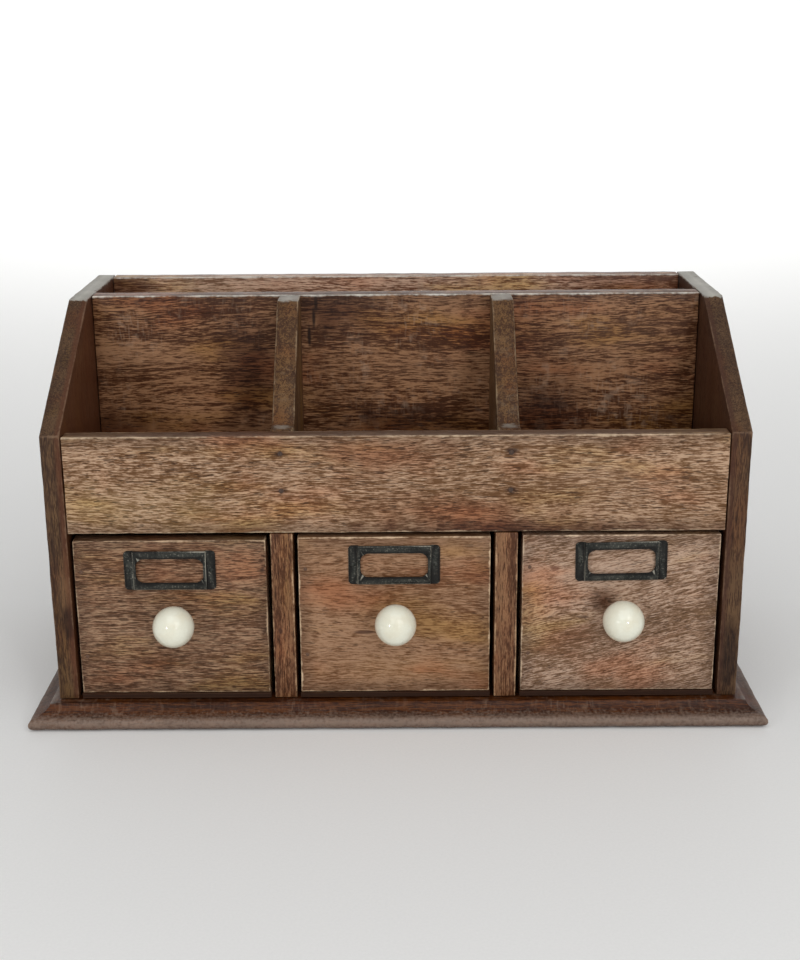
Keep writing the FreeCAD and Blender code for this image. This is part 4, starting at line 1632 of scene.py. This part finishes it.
    def build(self) -> None:
        """Make every board, the moulded base and the nail fillers."""
        self.plan()
        for board in self.boards:
            board.build()
        MouldedBase(BASE_WOOD).build()
        faces = [("left_side", 0, -1), ("right_side", 0, 1), ("front_panel", 1, -1), ("back_panel", 1, 1),
                 ("middle_panel", 1, 1), ("base_board", 2, -1)]
        for node, axis, side in faces:
            low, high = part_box(node)
            nails = "base_nails" if node == "base_board" else f"{node}_nails"
            level = (low if side < 0 else high)[axis]
            sunk = -side * (self.foot_wax_depth if axis == 2 else self.wax_depth)
            NailFillers(f"{node}_fillers", nails, "carcass", "nail_steel", axis, side, level + sunk).build()
            dress_node(nails, NAIL_STEEL.material(f"{nails}_steel"))


@dataclass
class Drawer:
    """One drawer: its front, box, knob, card frame and fixings."""

    side: str
    shift: float
    spots: Sequence[Spot] = ()
    frame_tilt: float = 0.0
    wax_depth: float = 0.0004
    wax_radius: float = 0.0011
    front_depth: float = 0.03

    def build(self) -> None:
        """Make the drawer's pieces and let them ride on its body."""
        body = f"{self.side}_drawer"
        front = f"{self.side}_drawer_front"
        low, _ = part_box(front)
        Board(f"{self.side}_front_board", front, body, "drawer_wood", DRAWER_WOOD[self.side], self.shift,
              cell=0.005, spots=self.spots).build()
        for index, part in enumerate(("left_wall", "right_wall", "back")):
            wood = BOX_WOOD if part == "back" else replace(BOX_WOOD, along=Grain.ALONG_Y)
            Board(f"{self.side}_box_{part}", f"{self.side}_drawer_{part}", body, "drawer_box_wood", wood,
                  self.shift + 0.4 + 0.3 * index, cell=0.012).build()
        bottom = f"{self.side}_drawer_bottom"
        dress_node(bottom, Plywood().material(bottom + "_ply", Bounds(*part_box(bottom))))
        Knob(self.side).build(low.y)
        CardFrame(self.side, tilt=self.frame_tilt).build(AGED_STEEL)
        nails = f"{self.side}_drawer_nails"
        NailFillers(f"{self.side}_front_fillers", nails, body, "nail_steel", 1, -1, low.y + self.wax_depth,
                    self.wax_radius, DRAWER_WAX, lambda spot: spot.y < low.y + self.front_depth).build()
        for part, metal in (("drawer_nails", NAIL_STEEL), ("drawer_brads", NAIL_STEEL),
                            ("card_frame_pins", PIN_STEEL), ("knob_insert", BRASS), ("knob_screw", ZINC),
                            ("knob_washer", ZINC)):
            dress_node(f"{self.side}_{part}", metal.material(f"{self.side}_{part}_metal"))


@dataclass(frozen=True)
class Lamp:
    """A square softbox: where it hangs, what it is aimed at, its size and its power in watts."""

    name: str
    at: Place
    aim: Place
    size: float
    watts: float

    def hang(self) -> None:
        """Hang the softbox and aim it."""
        light = bpy.data.lights.new(self.name, "AREA")
        light.size = self.size
        light.energy = self.watts
        lamp = bpy.data.objects.new(self.name, light)
        bpy.context.scene.collection.objects.link(lamp)
        lamp.location = self.at
        lamp.rotation_euler = (Vector(self.aim) - Vector(self.at)).to_track_quat("-Z", "Y").to_euler()


LAMPS = (
    Lamp("key", (0.95, -1.5, 1.25), (0.0, 0.0, 0.1), 0.9, 3.9),
    Lamp("overhead", (0.0, -1.25, 2.0), (0.0, 0.0, 0.0), 2.4, 17.0),
    Lamp("left_box", (-0.72, -1.1, 0.38), (0.0, -0.1, 0.1), 0.1, 1.7),
    Lamp("right_box", (0.42, -1.25, 0.37), (0.0, -0.1, 0.1), 0.1, 1.7),
    Lamp("backdrop_wash", (0.0, 1.9, 2.6), (0.0, 4.0, 1.0), 1.5, 70.0))


@dataclass
class Studio:
    """A pale floor and backdrop, soft lights and the camera."""

    lens: float = 54.94
    sensor: float = 36.0
    camera_at: Place = (0.00461, -0.87273, 0.3893)
    pitch: float = -0.2986
    yaw: float = -0.0029
    roll: float = -0.0071
    daylight: float = 0.43
    paper: float = 8.0
    paper_rise: float = 4.0
    paper_bend: float = 1.2
    paper_tones: tuple[Tone, Tone] = ((236, 236, 235), (244, 244, 243))

    def floor(self) -> None:
        """A wide sweep of pale paper that curves up behind the object."""
        deselect()
        bpy.ops.mesh.primitive_plane_add(size=self.paper, location=(0.0, 0.0, 0.0))
        piece = settle(bpy.context.active_object, "studio_floor")
        back = self.paper / 2 - 0.1
        edit(piece)
        pick(piece, "EDGE", lambda ends: min(ends[0].y, ends[1].y) > back)
        bpy.ops.mesh.extrude_region_move(TRANSFORM_OT_translate={"value": (0.0, 0.0, self.paper_rise)})
        pick(piece, "EDGE", lambda ends: min(ends[0].y, ends[1].y) > back
             and max(ends[0].z, ends[1].z) < 0.1)
        bpy.ops.mesh.bevel(offset=self.paper_bend, segments=16, affect="EDGES")
        close()
        smooth(piece, 60.0)
        material, wiring, shader, place = new_material("studio_paper")
        fibre = wiring.noise(place, 700.0)
        tone = wiring.blend(fibre, *(paint(tone) for tone in self.paper_tones))
        wiring.feed(shader.inputs["Base Color"], tone)
        wiring.feed(shader.inputs["Roughness"], wiring.math("MULTIPLY_ADD", fibre, 0.1, 0.8))
        shader.inputs["Specular IOR Level"].default_value = 0.1
        piece.data.materials.append(material)

    def lights(self) -> None:
        """Soft daylight all round, and the lamps."""
        world = bpy.data.worlds.new("soft daylight")
        world.use_nodes = True
        sky = world.node_tree.nodes["Background"]
        sky.inputs["Color"].default_value = paint(WHITE)
        sky.inputs["Strength"].default_value = self.daylight
        scene = bpy.context.scene
        scene.world = world
        scene.view_settings.view_transform = "Standard"
        scene.view_settings.look = "None"
        for lamp in LAMPS:
            lamp.hang()

    def camera(self) -> None:
        """Set the camera in front of the object, looking down at it."""
        level_run, rise = math.cos(self.pitch), math.sin(self.pitch)
        forward = Vector((math.sin(self.yaw) * level_run, math.cos(self.yaw) * level_run, rise))
        right = Vector((math.cos(self.yaw), -math.sin(self.yaw), 0.0))
        up = right.cross(forward)
        level = right * math.cos(self.roll) + up * math.sin(self.roll)
        lift = up * math.cos(self.roll) - right * math.sin(self.roll)
        turn = Matrix((level, lift, -forward)).transposed()
        data = bpy.data.cameras.new("camera")
        data.lens = self.lens
        data.sensor_width = self.sensor
        data.sensor_fit = "AUTO"
        camera = bpy.data.objects.new("camera", data)
        camera.matrix_world = Matrix.Translation(self.camera_at) @ turn.to_4x4()
        bpy.context.scene.collection.objects.link(camera)
        bpy.context.scene.camera = camera

    def build(self) -> None:
        """Set up the floor, the lights and the camera."""
        self.floor()
        self.lights()
        self.camera()


def drawers() -> list[Drawer]:
    """The three drawers, each with its own marks.

    Returns:
        The drawers, from the left.
    """
    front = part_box("middle_drawer_front")[0].y
    knot = Spot((-0.0186, front, 0.0553), (0.0085, 0.01, 0.0014), (70, 40, 28), strength=0.8, ragged=0.6)
    glow = Spot((0.004, front, 0.032), (0.056, 0.01, 0.014), (86, 62, 34), soft=0.9, lay=Lay.BLEACH)
    low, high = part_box("right_knob")
    beside_knob = ((low.x + high.x) / 2 - 0.010, front, (low.z + high.z) / 2 + 0.006)
    # Finger grime together with the painted shadow of the knob, darker above and to the left of it.
    stain = Spot(beside_knob, (0.012, 0.01, 0.013), (122, 92, 72), strength=0.9, soft=0.95, lay=Lay.STAIN)
    mark = Spot((0.0905, front, 0.094), (0.003, 0.01, 0.0018), (104, 62, 44), strength=0.7)
    chip = Spot((0.108, front, 0.064), (0.0045, 0.01, 0.0012), (70, 46, 36), strength=0.7)
    bruise = Spot((-0.0766, front, 0.094), (0.002, 0.01, 0.002), (60, 42, 32))
    return [Drawer("left", 11.3, [bruise]), Drawer("middle", 13.9, [knot, glow]),
            Drawer("right", 17.1, [stain, mark, chip], math.radians(0.9))]


def main() -> None:
    """Build the organizer and its studio."""
    logging.basicConfig(level=logging.INFO, format="%(name)s: %(message)s")
    Studio().build()
    Carcass().build()
    for drawer in drawers():
        drawer.build()


if __name__ == "__main__":
    main()
